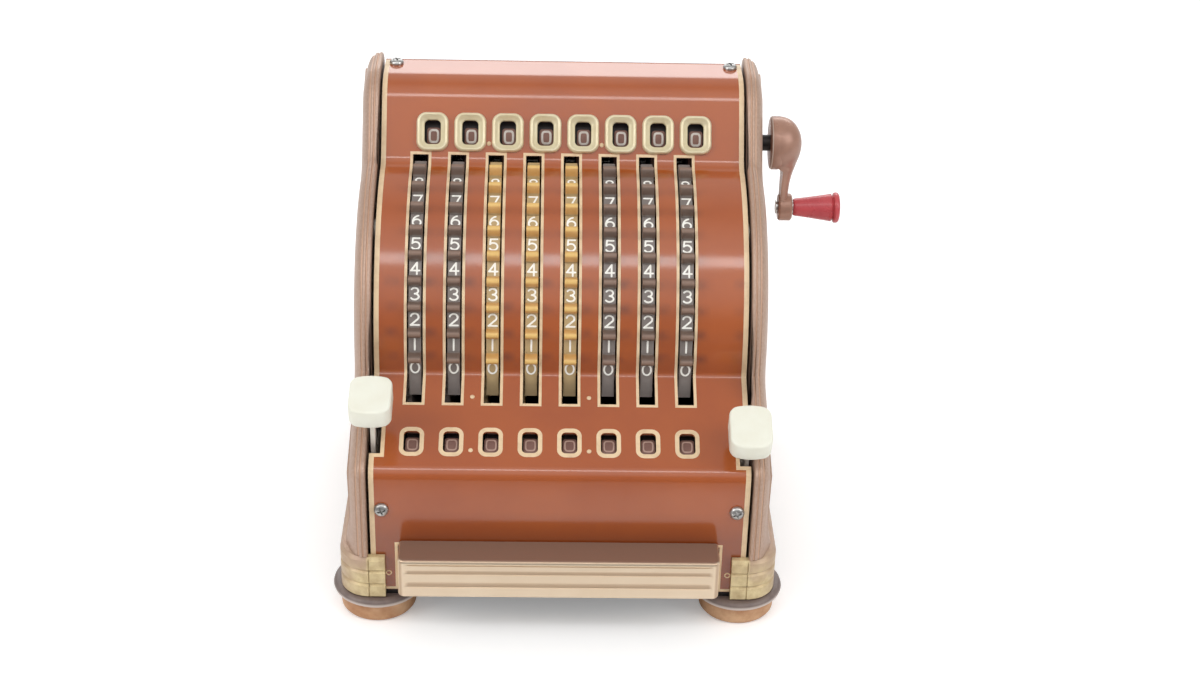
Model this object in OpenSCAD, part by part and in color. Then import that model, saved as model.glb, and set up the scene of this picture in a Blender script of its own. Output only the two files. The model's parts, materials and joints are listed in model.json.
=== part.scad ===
// Eight-column adding machine: finger wheels pulled down through slots in a bent sheet cover,
// two rows of number wheels behind windows, a zeroing crank, two side keys and a front press bar.
// Millimetres. Front looks along +Y, +Z up, feet on z = 0, origin under the middle of the whole box.

/* [Columns] */
// Spacing of the eight columns
column_pitch = 17; // [16:0.1:18]
// Width of a finger slot
slot_width = 7; // [6.6:0.1:8]
// Width of the stepped finger rim
rim_width = 5.6; // [4.6:0.1:6]
// Height of a finger step above the cover
lip_rise = 4; // [3:0.1:4.6]

/* [Body] */
// Sheet thickness of the covers
sheet = 1.2; // [0.8:0.1:1.5]
// Height of the flat top above the round part
top_rise = 32; // [30:0.5:36]
// Slope of the lower window panel
lower_slope = 26; // [24:0.5:27]
// Slope of the upper window panel
upper_slope = 56; // [54:0.5:58]
// Outer radius of the round part of the cover
bulge_radius = 71; // [70:0.1:71.5]
// Width of a side panel's rim
panel_width = 7; // [6:0.1:9]
// How far the side panels stand proud of the cover
panel_proud = 3; // [2:0.1:4]

/* [Windows] */
// Outer width of a raised window frame
bezel_width = 14.4; // [13.4:0.1:15]
// Outer height of a raised window frame
bezel_height = 17.7; // [16:0.1:18]
// Height of a raised window frame above the cover
bezel_rise = 2.4; // [1.5:0.1:3]
// Width of a lower window
window_width = 6.9; // [6:0.1:7.5]
// Height of a lower window
window_height = 10.6; // [9:0.1:11.5]

/* [Crank] */
// Crank shaft diameter
crank_shaft_d = 7.5; // [6.5:0.1:8]
// Throw of the crank
crank_throw = 33; // [28:0.5:36]
// Radius of the crank's round hub
crank_hub_r = 12.4; // [11:0.1:13]
// Length of the crank knob
knob_length = 21.2; // [18:0.1:24]
// Largest diameter of the crank knob
knob_d = 14.4; // [12:0.1:16]

/* [Keys and bar] */
// Width of a key cap
cap_width = 18; // [16:0.1:19]
// Depth of a key cap
cap_depth = 20.5; // [19:0.1:22]
// Thickness of a key cap
cap_height = 9.5; // [8:0.1:10.5]
// Angle a pressed key turns through
key_angle = 7.8; // [6:0.1:8.5]
// Width of the press bar
bar_width = 139; // [134:0.5:140]
// Depth of the press bar in front of the cover
bar_depth = 15.2; // [13:0.1:17]
// Height of the press bar
bar_height = 18.8; // [17:0.1:19.5]

/* [Feet] */
// Diameter of a foot cup
foot_d = 40; // [37:0.1:41]
// Height of the rubber pad
pad_height = 8.6; // [7.5:0.1:10]

/* [Hidden] */
$fn = 96;
running = 0.05;

// Heights: floor, cup, base plate, then the cover
cup_height = 5;
foot_top = pad_height + cup_height;
base_thick = 2.4;
floor_z = foot_top + base_thick;

// Widths: columns, frame plates, covers, side panels
half_columns = 3.5 * column_pitch;
column_shift = -4.6;
window_shift = 0.5;
frame_in = half_columns + 11.5;
frame_out = frame_in + 2;
cover_half = frame_out + 9;
panel_in = cover_half + 1.2;
panel_out = panel_in + panel_width;
plinth_r = panel_width + 6;
plinth_top = foot_top + 21.4;

// Side view of the cover: y back from the front face, z up from the floor
wheel_c = [bulge_radius + 46, 99];
front_corner = [0, 77.4];
upper_point = wheel_c + [-0.4, bulge_radius + 6.2];
top_height = wheel_c[1] + bulge_radius + top_rise;
front_bend = 6;
low_bend = 3;
high_bend = 8;
top_bend = 16;
rear_bend = 5;
rear_lean = 20;
hip_bend = 40;
top_flat = 14.5;
rear_depth = 30;
function dir(a) = [cos(a), sin(a)];
function dot(a, b) = a[0] * b[0] + a[1] * b[1];
low_n = dir(90 + lower_slope);
up_n = dir(90 + upper_slope);
front_c = [front_bend, front_corner[1] + (front_bend * low_n[0] * -1 - front_bend) / low_n[1]];
low_w = front_corner + low_bend * low_n - wheel_c;
low_b = dot(low_w, dir(lower_slope));
low_t = -low_b - sqrt(low_b * low_b - dot(low_w, low_w) + pow(bulge_radius + low_bend, 2));
low_c = front_corner + low_bend * low_n + low_t * dir(lower_slope);
low_end = atan2(low_c[1] - wheel_c[1], low_c[0] - wheel_c[0]);
high_w = upper_point + high_bend * up_n - wheel_c;
high_b = dot(high_w, dir(upper_slope));
high_t = -high_b + sqrt(high_b * high_b - dot(high_w, high_w) + pow(bulge_radius + high_bend, 2));
high_c = upper_point + high_bend * up_n + high_t * dir(upper_slope);
high_end = atan2(high_c[1] - wheel_c[1], high_c[0] - wheel_c[0]);
top_cz = top_height - top_bend;
top_cy = upper_point[0] + (-top_bend - (top_cz - upper_point[1]) * up_n[1]) / up_n[0];
seam_y = top_cy + top_flat;
rear_y = seam_y + rear_depth;
rear_c = [seam_y, top_height - rear_bend];
rear_p = rear_c + rear_bend * dir(rear_lean);
hip_cy = rear_y - hip_bend;
hip_cz = rear_p[1] + (-hip_bend - (hip_cy - rear_p[0]) * cos(rear_lean)) / sin(rear_lean);

// An arc of the side view: centre, radius (below zero where hollow), first and last outward angle, steps
arcs = [
    [front_c, front_bend, 180, 90 + lower_slope, 9],
    [low_c, -low_bend, 90 + lower_slope, low_end, 7],
    [wheel_c, bulge_radius, low_end, high_end, 30],
    [high_c, -high_bend, high_end, 90 + upper_slope, 9],
    [[top_cy, top_cz], top_bend, 90 + upper_slope, 90, 11],
    [rear_c, rear_bend, 90, rear_lean, 8],
    [[hip_cy, hip_cz], hip_bend, rear_lean, 0, 5]];
function arc_r(a, o) = a[1] > 0 ? max(a[1] + o, 0.4) : a[1] + o;
function arc_points(a, o) =
    [for (i = [0:a[4]]) a[0] + arc_r(a, o) * dir(a[2] + (a[3] - a[2]) * i / a[4])];
function run(from, to, o) = [for (j = [from:to]) each arc_points(arcs[j], o)];
function flipped(p) = [for (i = [len(p) - 1:-1:0]) p[i]];
function outline(o, z) = concat([[-o, z]], run(0, 6, o), [[rear_y + o, z]]);
front_strip = concat(
    [[0, floor_z]], run(0, 4, 0), [[seam_y - 0.2, top_height]],
    [[seam_y - 0.2, top_height - sheet]], flipped(run(0, 4, -sheet)), [[sheet, floor_z]]);
rear_strip = concat(
    [[seam_y, top_height]], run(5, 6, 0), [[rear_y, floor_z]],
    [[rear_y - sheet, floor_z]], flipped(run(5, 6, -sheet)), [[seam_y, top_height - sheet]]);
function low_at(t) = front_corner + t * dir(lower_slope);
function up_at(t) = upper_point + t * dir(upper_slope);

// Gear train: setting wheel to result wheel, and through an idler to check wheel
setting_teeth = 80;
setting_pitch_r = bulge_radius - 11;
gear_module = 2 * setting_pitch_r / setting_teeth;
number_teeth = 20;
idler_teeth = 28;
backlash = 0.4;
result_angle = 72.5;
result_c = wheel_c + gear_module * (setting_teeth + number_teeth) / 2 * dir(result_angle);
window_mid = 7.1;
check_mid = 15.7;
check_c = low_at(check_mid) - 22 * low_n;
idler_far = gear_module * (setting_teeth + idler_teeth) / 2;
idler_near = gear_module * (number_teeth + idler_teeth) / 2;
check_v = check_c - wheel_c;
check_far = norm(check_v);
idler_cos = (idler_far * idler_far + check_far * check_far - idler_near * idler_near)
    / (2 * idler_far * check_far);
idler_angle = atan2(check_v[1], check_v[0]) + acos(idler_cos);
idler_c = wheel_c + idler_far * dir(idler_angle);
idler_check = atan2(check_c[1] - idler_c[1], check_c[0] - idler_c[0]);
function mesh_phase(at, phase, n1, n2) = at + 180 - (phase - at) * n1 / n2 + 180 / n2;
result_phase = mesh_phase(result_angle, 0, setting_teeth, number_teeth);
idler_phase = mesh_phase(idler_angle, 0, setting_teeth, idler_teeth);
check_phase = mesh_phase(idler_check, idler_phase, idler_teeth, number_teeth);
result_drum_r = dot(up_at(window_mid) - result_c, up_n) - sheet - 3.4;
check_drum_r = 17.6;

// Where things lie across a column, from the middle of its slot
disc_x0 = -rim_width / 2 - 2.1;
disc_x1 = -rim_width / 2;
tooth_x0 = disc_x0 + 0.2;
tooth_x1 = disc_x1 - 0.3;
hub_x1 = disc_x0 + column_pitch - 0.4;
digit_x = window_shift - column_shift;
drum_width = 7;

// Finger rim: ten sunk digit faces between lands whose tops are the finger ledges
step_angle = 36 * number_teeth / setting_teeth;
first_digit = 2.9;
tip_r = bulge_radius + lip_rise;
land_r = tip_r - 2;
face_r = tip_r - 5.4;
face_low = 2.75;
face_high = 2.45;
rim_in = setting_pitch_r - 10;
rim_low = first_digit - step_angle + face_high;
rim_high = first_digit + 9 * step_angle + face_high + 2;
function rim_at(r, a) = wheel_c + r * dir(180 - a);
rim_points = concat(
    [for (i = [0:9]) let (a = first_digit + i * step_angle) each [
        rim_at(land_r, a - step_angle + face_high), rim_at(tip_r, a - face_low - 0.3),
        rim_at(tip_r - 0.3, a - face_low), rim_at(face_r, a - face_low), rim_at(face_r, a + face_high)]],
    [rim_at(land_r, rim_high - 2)],
    [rim_at(land_r + 0.3, rim_high)],
    [for (i = [0:12]) rim_at(rim_in, rim_high + (rim_low - rim_high) * i / 12)]);

// Slot ends along the two panels
slot_low = low_at(35.6);
slot_high = up_at(-3.2);
slot_cut = [slot_low + 8 * low_n, slot_low - 6 * low_n, wheel_c, slot_high - 6 * up_n,
    slot_high + 6 * up_n, [20, 200]];

// Crank, keys, bar and feet
hub_x = panel_out + 6;
arm_x = hub_x + 6.3;
boss_x0 = arm_x - 0.5;
boss_x1 = boss_x0 + 6.4;
knob_x0 = boss_x1 + 1.4;
knob_x1 = knob_x0 + knob_length;
shaft_end = hub_x + 11;
key_x = frame_out + 7.6;
key_c = [78, 60];
cap_at = [8, 111.7];
cap_tilt = 15;
key_notch_x = cover_half - 4.7;
bar_z0 = floor_z + 7.8;
bar_gap = 0.8;
leg_z0 = bar_z0 + 3.2;
leg_z1 = leg_z0 + 8;
leg_x = 55;
post_y = 10;
post_r = 2.5;
foot_x = panel_in - 3;
foot_y1 = 13.7;
foot_y2 = rear_y - 17;
screw_x = frame_out + 3.8;
front_screw_z = 58.5;
top_screw_y = seam_y - 4.5;
rear_screw_z = 60;
tie_at = [[30, 26], [rear_y - 15, 30], wheel_c + (setting_pitch_r + 10.7) * dir(46)];
boss_at = [[20, 42], [rear_y - 15, 48], [seam_y - 7, top_height - 16], wheel_c + [-32, 51]];

// The whole box, to put the origin under its middle
mid_x = (knob_x1 - foot_x - foot_d / 2) / 2;
mid_y = (rear_y + max(panel_proud, 3.4) - bar_depth - bar_gap) / 2;

cover_colour = [0.42, 0.11, 0.05];
brown = [0.38, 0.25, 0.15];
ivory = [0.86, 0.78, 0.6];
steel = [0.62, 0.62, 0.62];
black = [0.08, 0.08, 0.08];
amber = [0.78, 0.42, 0.1];
dark = [0.2, 0.12, 0.08];
gold = [0.75, 0.62, 0.4];

// A side-view shape, drawn in y and z, as thick as the span from x0 to x1
module across(x0, x1) {
    translate([x0, 0, 0])
        rotate([90, 0, 90])
            linear_extrude(x1 - x0)
                children();
}

// A round bar along x at a side-view point
module bar_x(at, r, x0, x1) {
    translate([x0, at[0], at[1]])
        rotate([0, 90, 0])
            cylinder(r = r, h = x1 - x0);
}

module rounded(w, h, r) {
    square([w - 2 * r, h], center = true);
    square([w, h - 2 * r], center = true);
    for (x = [-1, 1], y = [-1, 1])
        translate([x * (w / 2 - r), y * (h / 2 - r)])
            circle(r);
}

function gear_points(n, phase, at) =
    let (
        r = gear_module * n / 2,
        tip = r + 0.75 * gear_module,
        root = r - 0.95 * gear_module,
        half = PI * gear_module / 4 - backlash / 2,
        half_tip = (half - 0.75 * gear_module * tan(20)) / tip * 180 / PI,
        half_root = (half + 0.95 * gear_module * tan(20)) / root * 180 / PI)
    [for (i = [0:n - 1]) let (a = phase + 360 * i / n) each [
        at + root * dir(a - half_root), at + tip * dir(a - half_tip),
        at + tip * dir(a + half_tip), at + root * dir(a + half_root)]];

function column_x(k) = column_shift + (k - 4.5) * column_pitch;

module setting_wheel(k) {
    colour = k > 2 && k < 6 ? amber : dark;
    color(colour)
        translate([column_x(k), 0, 0])
            difference() {
                union() {
                    across(disc_x0, disc_x1)
                        polygon(gear_points(setting_teeth, 0, wheel_c));
                    across(disc_x1 - 0.1, rim_width / 2)
                        polygon(rim_points);
                    bar_x(wheel_c, 10, disc_x0, hub_x1);
                }
                bar_x(wheel_c, 4 + running, disc_x0 - 1, hub_x1 + 1);
                for (a = [0:72:359])
                    bar_x(wheel_c + setting_pitch_r / 2 * dir(a), setting_pitch_r / 6, disc_x0 - 1,
                        disc_x1 + 0.05);
            }
}

module number_wheel(k, at, teeth_phase, drum_r, drum_x0, drum_x1, hub_r, bore_r) {
    color(black)
        translate([column_x(k), 0, 0])
            difference() {
                union() {
                    across(tooth_x0, tooth_x1)
                        polygon(gear_points(number_teeth, teeth_phase, at));
                    bar_x(at, hub_r, tooth_x0, hub_x1);
                    bar_x(at, drum_r, drum_x0, drum_x1);
                }
                bar_x(at, bore_r, tooth_x0 - 1, hub_x1 + 1);
                difference() {
                    bar_x(at, drum_r - 2, drum_x1 - 1.5, drum_x1 + 1);
                    bar_x(at, hub_r, drum_x1 - 2, drum_x1 + 2);
                }
            }
}

module result_wheel(k) {
    number_wheel(k, result_c, result_phase, result_drum_r, digit_x - drum_width / 2,
        digit_x + drum_width / 2, 6, crank_shaft_d / 2 + running);
}

module check_wheel(k) {
    number_wheel(k, check_c, check_phase, check_drum_r, disc_x1 + 0.4, rim_width / 2 + 0.6, 5,
        3 + running);
}

module idler_gear(k) {
    color(steel)
        translate([column_x(k), 0, 0])
            difference() {
                union() {
                    across(tooth_x0, tooth_x1)
                        polygon(gear_points(idler_teeth, idler_phase, idler_c));
                    bar_x(idler_c, 4, tooth_x0, hub_x1);
                }
                bar_x(idler_c, 2.5 + running, tooth_x0 - 1, hub_x1 + 1);
                for (a = [0:60:359])
                    bar_x(idler_c + 12 * dir(a), 4, tooth_x0 - 1, tooth_x1 + 1);
            }
}

// A fixed shaft through both frame plates with a collar at each end of the wheel row
module fixed_shaft(at, r, collar_r) {
    color(steel) {
        bar_x(at, r, -frame_out, frame_out);
        bar_x(at, collar_r, -frame_in, column_x(1) + disc_x0 - 0.3);
        bar_x(at, collar_r, column_x(8) + hub_x1 + 0.3, frame_in);
    }
}

module setting_shaft() {
    fixed_shaft(wheel_c, 4, 8);
}

module idler_shaft() {
    fixed_shaft(idler_c, 2.5, 4);
}

module check_shaft() {
    fixed_shaft(check_c, 3, 5);
}

module tie_rods() {
    color(steel)
        for (at = tie_at) {
            bar_x(at, 4, -frame_in, frame_in);
            bar_x(at, 2.5, -frame_out - 1, frame_out + 1);
        }
}

module crank_shaft() {
    color(black) {
        bar_x(result_c, crank_shaft_d / 2, -frame_out - 0.6, shaft_end);
        bar_x(result_c, 6, -frame_in + 0.3, column_x(1) + tooth_x0 - 0.3);
        bar_x(result_c, 6, column_x(8) + hub_x1 + 0.3, frame_in - 0.3);
    }
}

module crank_arm() {
    tip = result_c[1] - crank_throw;
    color([0.5, 0.25, 0.14])
        difference() {
            union() {
                translate([hub_x, result_c[0], result_c[1]])
                    rotate([0, 90, 0])
                        rotate_extrude()
                            polygon([[0, 0], [crank_hub_r - 1, 0], [crank_hub_r, 1], [crank_hub_r, 3.5],
                                [crank_hub_r * 0.96, 5.5], [crank_hub_r * 0.86, 8], [crank_hub_r * 0.7, 10.6],
                                [crank_hub_r * 0.48, 12.8], [crank_hub_r * 0.24, 14.2], [0, 14.7]]);
                intersection() {
                    translate([0, result_c[0] + 12, result_c[1]])
                        rotate([90, 0, 0])
                            linear_extrude(24)
                                polygon([[arm_x, 0], [hub_x + 14, 0], [hub_x + 13.2, -7], [hub_x + 12, -13],
                                    [hub_x + 10.6, -19], [hub_x + 10, -25], [hub_x + 10, -crank_throw],
                                    [arm_x, -crank_throw]]);
                    across(arm_x - 1, hub_x + 15)
                        polygon([[result_c[0] - 9.8, result_c[1]], [result_c[0] - 8, result_c[1] - 9],
                            [result_c[0] - 5.2, result_c[1] - 20], [result_c[0] - 4.4, tip],
                            [result_c[0] + 4.4, tip], [result_c[0] + 5.2, result_c[1] - 20],
                            [result_c[0] + 8, result_c[1] - 9], [result_c[0] + 9.8, result_c[1]]]);
                }
                bar_x([result_c[0], tip], 6.4, boss_x0, boss_x1);
            }
            bar_x(result_c, crank_shaft_d / 2, hub_x - 1, shaft_end);
            bar_x([result_c[0], tip], 2, boss_x0 - 1, boss_x1 + 1);
        }
}

module knob_stud() {
    at = [result_c[0], result_c[1] - crank_throw];
    color(steel) {
        bar_x(at, 2, boss_x0, knob_x1 - 4);
        bar_x(at, 3.2, boss_x0 - 1.2, boss_x0);
        bar_x(at, 3.2, boss_x1, boss_x1 + 1);
    }
}

module crank_knob() {
    color([0.6, 0.05, 0.05])
        translate([knob_x0, result_c[0], result_c[1] - crank_throw])
            rotate([0, 90, 0])
                difference() {
                    rotate_extrude()
                        polygon([[0, 0], [3.6, 0], [4.1, 0.6], [4.6, 4], [knob_d / 2 - 1.3, knob_length - 6],
                            [knob_d / 2 - 0.5, knob_length - 3.6], [knob_d / 2 - 0.8, knob_length - 3.3],
                            [knob_d / 2 - 0.8, knob_length - 3], [knob_d / 2, knob_length - 2.6],
                            [knob_d / 2, knob_length - 1.4], [knob_d / 2 - 0.8, knob_length - 0.5],
                            [knob_d / 2 - 2.4, knob_length], [0, knob_length]]);
                    translate([0, 0, -1])
                        cylinder(r = 2 + running, h = knob_length - 2.6);
                }
}

// The cover's front sheet with slots, windows, notches and screw holes
module front_cover() {
    color(cover_colour)
        difference() {
            across(-cover_half, cover_half)
                polygon(front_strip);
            for (k = [1:8]) {
                across(column_x(k) - slot_width / 2, column_x(k) + slot_width / 2)
                    polygon(slot_cut);
                translate([column_x(k) + digit_x, up_at(window_mid)[0], up_at(window_mid)[1]])
                    rotate([upper_slope, 0, 0])
                        translate([0, 0, -4])
                            linear_extrude(8)
                                rounded(8.6, 12.4, 2.4);
                translate([column_x(k), low_at(check_mid)[0], low_at(check_mid)[1]])
                    rotate([lower_slope, 0, 0])
                        translate([0, 0, -4])
                            linear_extrude(8)
                                rounded(window_width, window_height, 2);
            }
            for (side = [-1, 1])
                translate([side * (cover_half + 1), front_corner[0], front_corner[1]])
                    rotate([lower_slope, 0, 0])
                        translate([-cover_half - 1 + key_notch_x, side < 0 ? 9.5 : 4.8, -5])
                            cube([2 * (cover_half + 1 - key_notch_x), side < 0 ? 20.5 : 25.2, 10]);
            translate([-bar_width / 2 - 0.7, -1, floor_z - 1])
                cube([bar_width + 1.4, sheet + 2, bar_z0 + bar_height - 3.6 - floor_z + 1]);
            for (side = [-1, 1]) {
                translate([side * screw_x, -1, front_screw_z])
                    rotate([-90, 0, 0])
                        cylinder(r = 1.7, h = sheet + 2);
                translate([side * screw_x, top_screw_y, top_height - sheet - 1])
                    cylinder(r = 1.7, h = sheet + 2);
            }
        }
}

module rear_cover() {
    color(cover_colour)
        difference() {
            across(-cover_half, cover_half)
                polygon(rear_strip);
            for (side = [-1, 1])
                translate([side * screw_x, rear_y - sheet - 1, rear_screw_z])
                    rotate([-90, 0, 0])
                        cylinder(r = 1.7, h = sheet + 2);
        }
}

// One inner plate that carries the shafts; tapped blocks outside it take the cover screws,
// and round spacers carry the side panel
module frame_plate(side) {
    x0 = side < 0 ? -frame_out : frame_in;
    block_x = side < 0 ? -frame_out - 7 : frame_out - 0.5;
    color(steel)
        difference() {
            union() {
                across(x0, x0 + 2)
                    polygon(outline(-sheet, floor_z));
                translate([block_x, sheet, front_screw_z - 4.5])
                    cube([7.5, 7, 9]);
                translate([block_x, top_screw_y - 4, top_height - sheet - 7])
                    cube([7.5, 8, 7]);
                translate([block_x, rear_y - sheet - 7, rear_screw_z - 4.5])
                    cube([7.5, 7, 9]);
                for (at = boss_at)
                    mirror([side < 0 ? 1 : 0, 0, 0])
                        bar_x(at, 5, frame_out - 0.5, panel_in);
            }
            bar_x(wheel_c, 4, -frame_out - 1, frame_out + 1);
            bar_x(idler_c, 2.5, -frame_out - 1, frame_out + 1);
            bar_x(check_c, 3, -frame_out - 1, frame_out + 1);
            bar_x(result_c, crank_shaft_d / 2 + running, -frame_out - 1, frame_out + 1);
            for (at = tie_at)
                bar_x(at, 2.5, -frame_out - 1, frame_out + 1);
            translate([side * screw_x, 0, front_screw_z])
                rotate([-90, 0, 0])
                    cylinder(r = 1.6, h = 7);
            translate([side * screw_x, top_screw_y, top_height - 6.6])
                cylinder(r = 1.6, h = 7);
            translate([side * screw_x, rear_y - 7, rear_screw_z])
                rotate([-90, 0, 0])
                    cylinder(r = 1.6, h = 8);
        }
}

module left_frame_plate() {
    frame_plate(-1);
}

module right_frame_plate() {
    frame_plate(1);
}

module base_plate() {
    color(black)
        difference() {
            translate([-panel_in, 0.3, foot_top])
                cube([2 * panel_in, rear_y - 0.3, base_thick]);
            for (side = [-1, 1], y = [foot_y1, foot_y2])
                translate([side * foot_x, y, foot_top - 1])
                    cylinder(r = 2, h = base_thick + 2);
        }
}

// Rings of the side panel from its inner face outwards: distance in x, then how far outside the cover
panel_rings = [
    [0, panel_proud - 1], [0.4, panel_proud - 0.3], [1, panel_proud], [1.5, panel_proud - 0.15],
    [1.8, panel_proud - 0.6], [2.2, panel_proud - 0.7], [2.5, panel_proud - 0.3],
    [3.1, panel_proud - 0.4], [3.6, panel_proud - 0.8], [3.9, panel_proud - 1.5],
    [4.3, panel_proud - 1.7], [4.7, panel_proud - 1.6], [panel_width * 0.78, panel_proud - 2.4],
    [panel_width * 0.9, panel_proud - 3.8], [panel_width, panel_proud - 5.6],
    [panel_width + 0.6, panel_proud - 8.2], [panel_width + 1.1, panel_proud - 11],
    [panel_width + 1.4, panel_proud - 14]];
ring_count = len(outline(0, 0));
panel_mesh_points = [for (r = panel_rings) each
    [for (p = outline(r[1], plinth_top)) [panel_in + r[0], p[0], p[1]]]];
panel_mesh_faces = concat(
    [[for (i = [0:ring_count - 1]) i]],
    [[for (i = [ring_count - 1:-1:0]) (len(panel_rings) - 1) * ring_count + i]],
    [for (j = [0:len(panel_rings) - 2], i = [0:ring_count - 1])
        let (n = (i + 1) % ring_count, a = j * ring_count, b = a + ring_count)
        each [[a + i, b + i, b + n], [a + i, b + n, a + n]]]);

module side_panel() {
    polyhedron(panel_mesh_points, panel_mesh_faces);
}

module left_side_panel() {
    color(brown)
        mirror([1, 0, 0])
            side_panel();
}

module right_side_panel() {
    color(brown)
        difference() {
            side_panel();
            bar_x(result_c, crank_shaft_d / 2 + 0.5, panel_in - 1, panel_out + 4);
        }
}

// Plinth section, out from the panel's inner face and up: three ribs
plinth_points = [
    [0, foot_top], [plinth_r - 0.9, foot_top], [plinth_r, foot_top + 1], [plinth_r, foot_top + 6],
    [plinth_r - 0.9, foot_top + 7], [plinth_r, foot_top + 8], [plinth_r, foot_top + 13],
    [plinth_r - 0.9, foot_top + 14], [plinth_r, foot_top + 15], [plinth_r, plinth_top - 2],
    [plinth_r - 1.2, plinth_top - 0.4], [plinth_r - 3, plinth_top], [0, plinth_top]];
plinth_y0 = plinth_r - 3.4;
plinth_y1 = rear_y + 3.4 - plinth_r;

// The ribbed moulding under one side panel, with a lug round the cover's front corner
module plinth_moulding() {
    translate([panel_in, plinth_y1, 0])
        rotate([90, 0, 0])
            linear_extrude(plinth_y1 - plinth_y0)
                polygon(plinth_points);
    translate([panel_in, plinth_y0, 0])
        rotate([0, 0, -90])
            rotate_extrude(angle = 90)
                polygon(plinth_points);
    translate([panel_in, plinth_y1, 0])
        rotate_extrude(angle = 90)
            polygon(plinth_points);
    difference() {
        translate([panel_in - 7.4, plinth_y0, 0])
            rotate([90, 0, 90])
                linear_extrude(7.4)
                    intersection() {
                        mirror([1, 0])
                            polygon(plinth_points);
                        translate([-plinth_r - 1, foot_top])
                            square([plinth_r + 1 - plinth_y0 - 0.3, plinth_top - foot_top]);
                    }
        translate([panel_in - 0.5, plinth_y0 - plinth_r - 1, foot_top - 1])
            cube([1, 1.8, plinth_top - foot_top + 2]);
    }
}

module plinth_mouldings() {
    color(gold) {
        plinth_moulding();
        mirror([1, 0, 0])
            plinth_moulding();
    }
}

module window_bezel() {
    difference() {
        hull() {
            linear_extrude(0.8)
                rounded(bezel_width, bezel_height, 4.4, $fn = 20);
            linear_extrude(bezel_rise)
                rounded(bezel_width - 2, bezel_height - 2, 3.6, $fn = 20);
        }
        hull() {
            translate([0, 0, -1])
                linear_extrude(1.4)
                    rounded(7.3, 11.2, 2.2, $fn = 20);
            translate([0, 0, bezel_rise])
                linear_extrude(0.6)
                    rounded(bezel_width - 3.4, bezel_height - 3.4, 3.2, $fn = 20);
        }
    }
}

module window_bezels() {
    color(ivory)
        for (k = [1:8])
            translate([column_x(k) + digit_x, up_at(window_mid)[0], up_at(window_mid)[1]])
                rotate([upper_slope, 0, 0])
                    window_bezel();
}

// Key lever in its raised place, turned down by an angle
module key_lever(side, turn) {
    x0 = side * key_x - 1;
    color(steel)
        translate([0, key_c[0], key_c[1]])
            rotate([turn, 0, 0])
                translate([0, -key_c[0], -key_c[1]])
                    difference() {
                        union() {
                            across(x0, x0 + 2)
                                polygon([[13, 106], [18.5, 106], [18.5, 80], [26, 75], [74, 66], [82, 58],
                                    [74, 54], [22, 67], [13, 72]]);
                            bar_x(key_c, 7, x0, x0 + 2);
                        }
                        bar_x(key_c, 3 + running, x0 - 1, x0 + 3);
                    }
}

module cap_plan(inset) {
    intersection() {
        rounded(cap_width - 2 * inset, cap_depth - 2 * inset, 3);
        translate([0, 40 - cap_depth / 2])
            circle(40 - inset);
        translate([0, cap_depth / 2 - 40])
            circle(40 - inset);
    }
}

module key_cap(side, turn) {
    x0 = side * key_x - 1;
    color(ivory)
        translate([0, key_c[0], key_c[1]])
            rotate([turn, 0, 0])
                translate([0, -key_c[0], -key_c[1]])
                    difference() {
                        translate([side * key_x, cap_at[0], cap_at[1]])
                            rotate([cap_tilt, 0, 0])
                                translate([0, 0, -cap_height]) {
                                    linear_extrude(cap_height - 0.8)
                                        cap_plan(0);
                                    linear_extrude(cap_height)
                                        cap_plan(0.8);
                                }
                        across(x0, x0 + 2)
                            polygon([[13, 106], [18.5, 106], [18.5, 80], [13, 80]]);
                    }
}

module left_key_lever() {
    key_lever(-1, 0);
}

module left_key_cap() {
    key_cap(-1, 0);
}

module right_key_lever() {
    key_lever(1, key_angle);
}

module right_key_cap() {
    key_cap(1, key_angle);
}

module key_pivots() {
    color(steel)
        for (side = [-1, 1]) {
            mirror([side < 0 ? 1 : 0, 0, 0]) {
                bar_x(key_c, 5, frame_out, key_x - 1.3);
                bar_x(key_c, 3, frame_out, key_x + 2);
                bar_x(key_c, 4.6, key_x + 1.3, key_x + 2.4);
            }
        }
}

module front_bar() {
    y0 = -bar_depth - bar_gap;
    z1 = bar_z0 + bar_height;
    color(gold)
        difference() {
            union() {
                difference() {
                    translate([0, y0, bar_z0])
                        linear_extrude(bar_height) {
                            translate([-bar_width / 2 + 3, 0])
                                square([bar_width - 6, bar_depth]);
                            translate([-bar_width / 2, 3])
                                square([bar_width, bar_depth - 3]);
                            for (side = [-1, 1])
                                translate([side * (bar_width / 2 - 3), 3])
                                    circle(3);
                        }
                    translate([-bar_width / 2 + 2.4, y0 + 3, bar_z0 - 1])
                        cube([bar_width - 4.8, bar_depth, bar_height - 1.6]);
                }
                for (side = [-1, 1])
                    translate([side * leg_x - 5, y0 + 2.5, leg_z0])
                        cube([10, post_y + 5 - y0 - 2.5, leg_z1 - leg_z0]);
            }
            for (side = [-1, 1])
                translate([side * leg_x, post_y, leg_z0 - 1])
                    cylinder(r = post_r + running, h = leg_z1 - leg_z0 + 2);
            translate([-bar_width / 2 + 2.4, y0 - 1, z1 - 2.3])
                cube([bar_width - 4.8, 1.4, 0.5]);
            translate([-bar_width / 2 + 2.4, y0 - 1, z1 - 7])
                cube([bar_width - 4.8, 1.7, 2.2]);
            translate([-bar_width / 2 + 2.4, y0 - 1, z1 - 13.7])
                cube([bar_width - 4.8, 1.7, 2.7]);
        }
}

module bar_guides() {
    color(steel)
        for (side = [-1, 1])
            translate([side * leg_x, post_y, floor_z]) {
                cylinder(r = post_r, h = leg_z1 + 2 - floor_z);
                translate([0, 0, leg_z1 + 0.2 - floor_z])
                    cylinder(r = 4, h = 1.8);
            }
}

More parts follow.
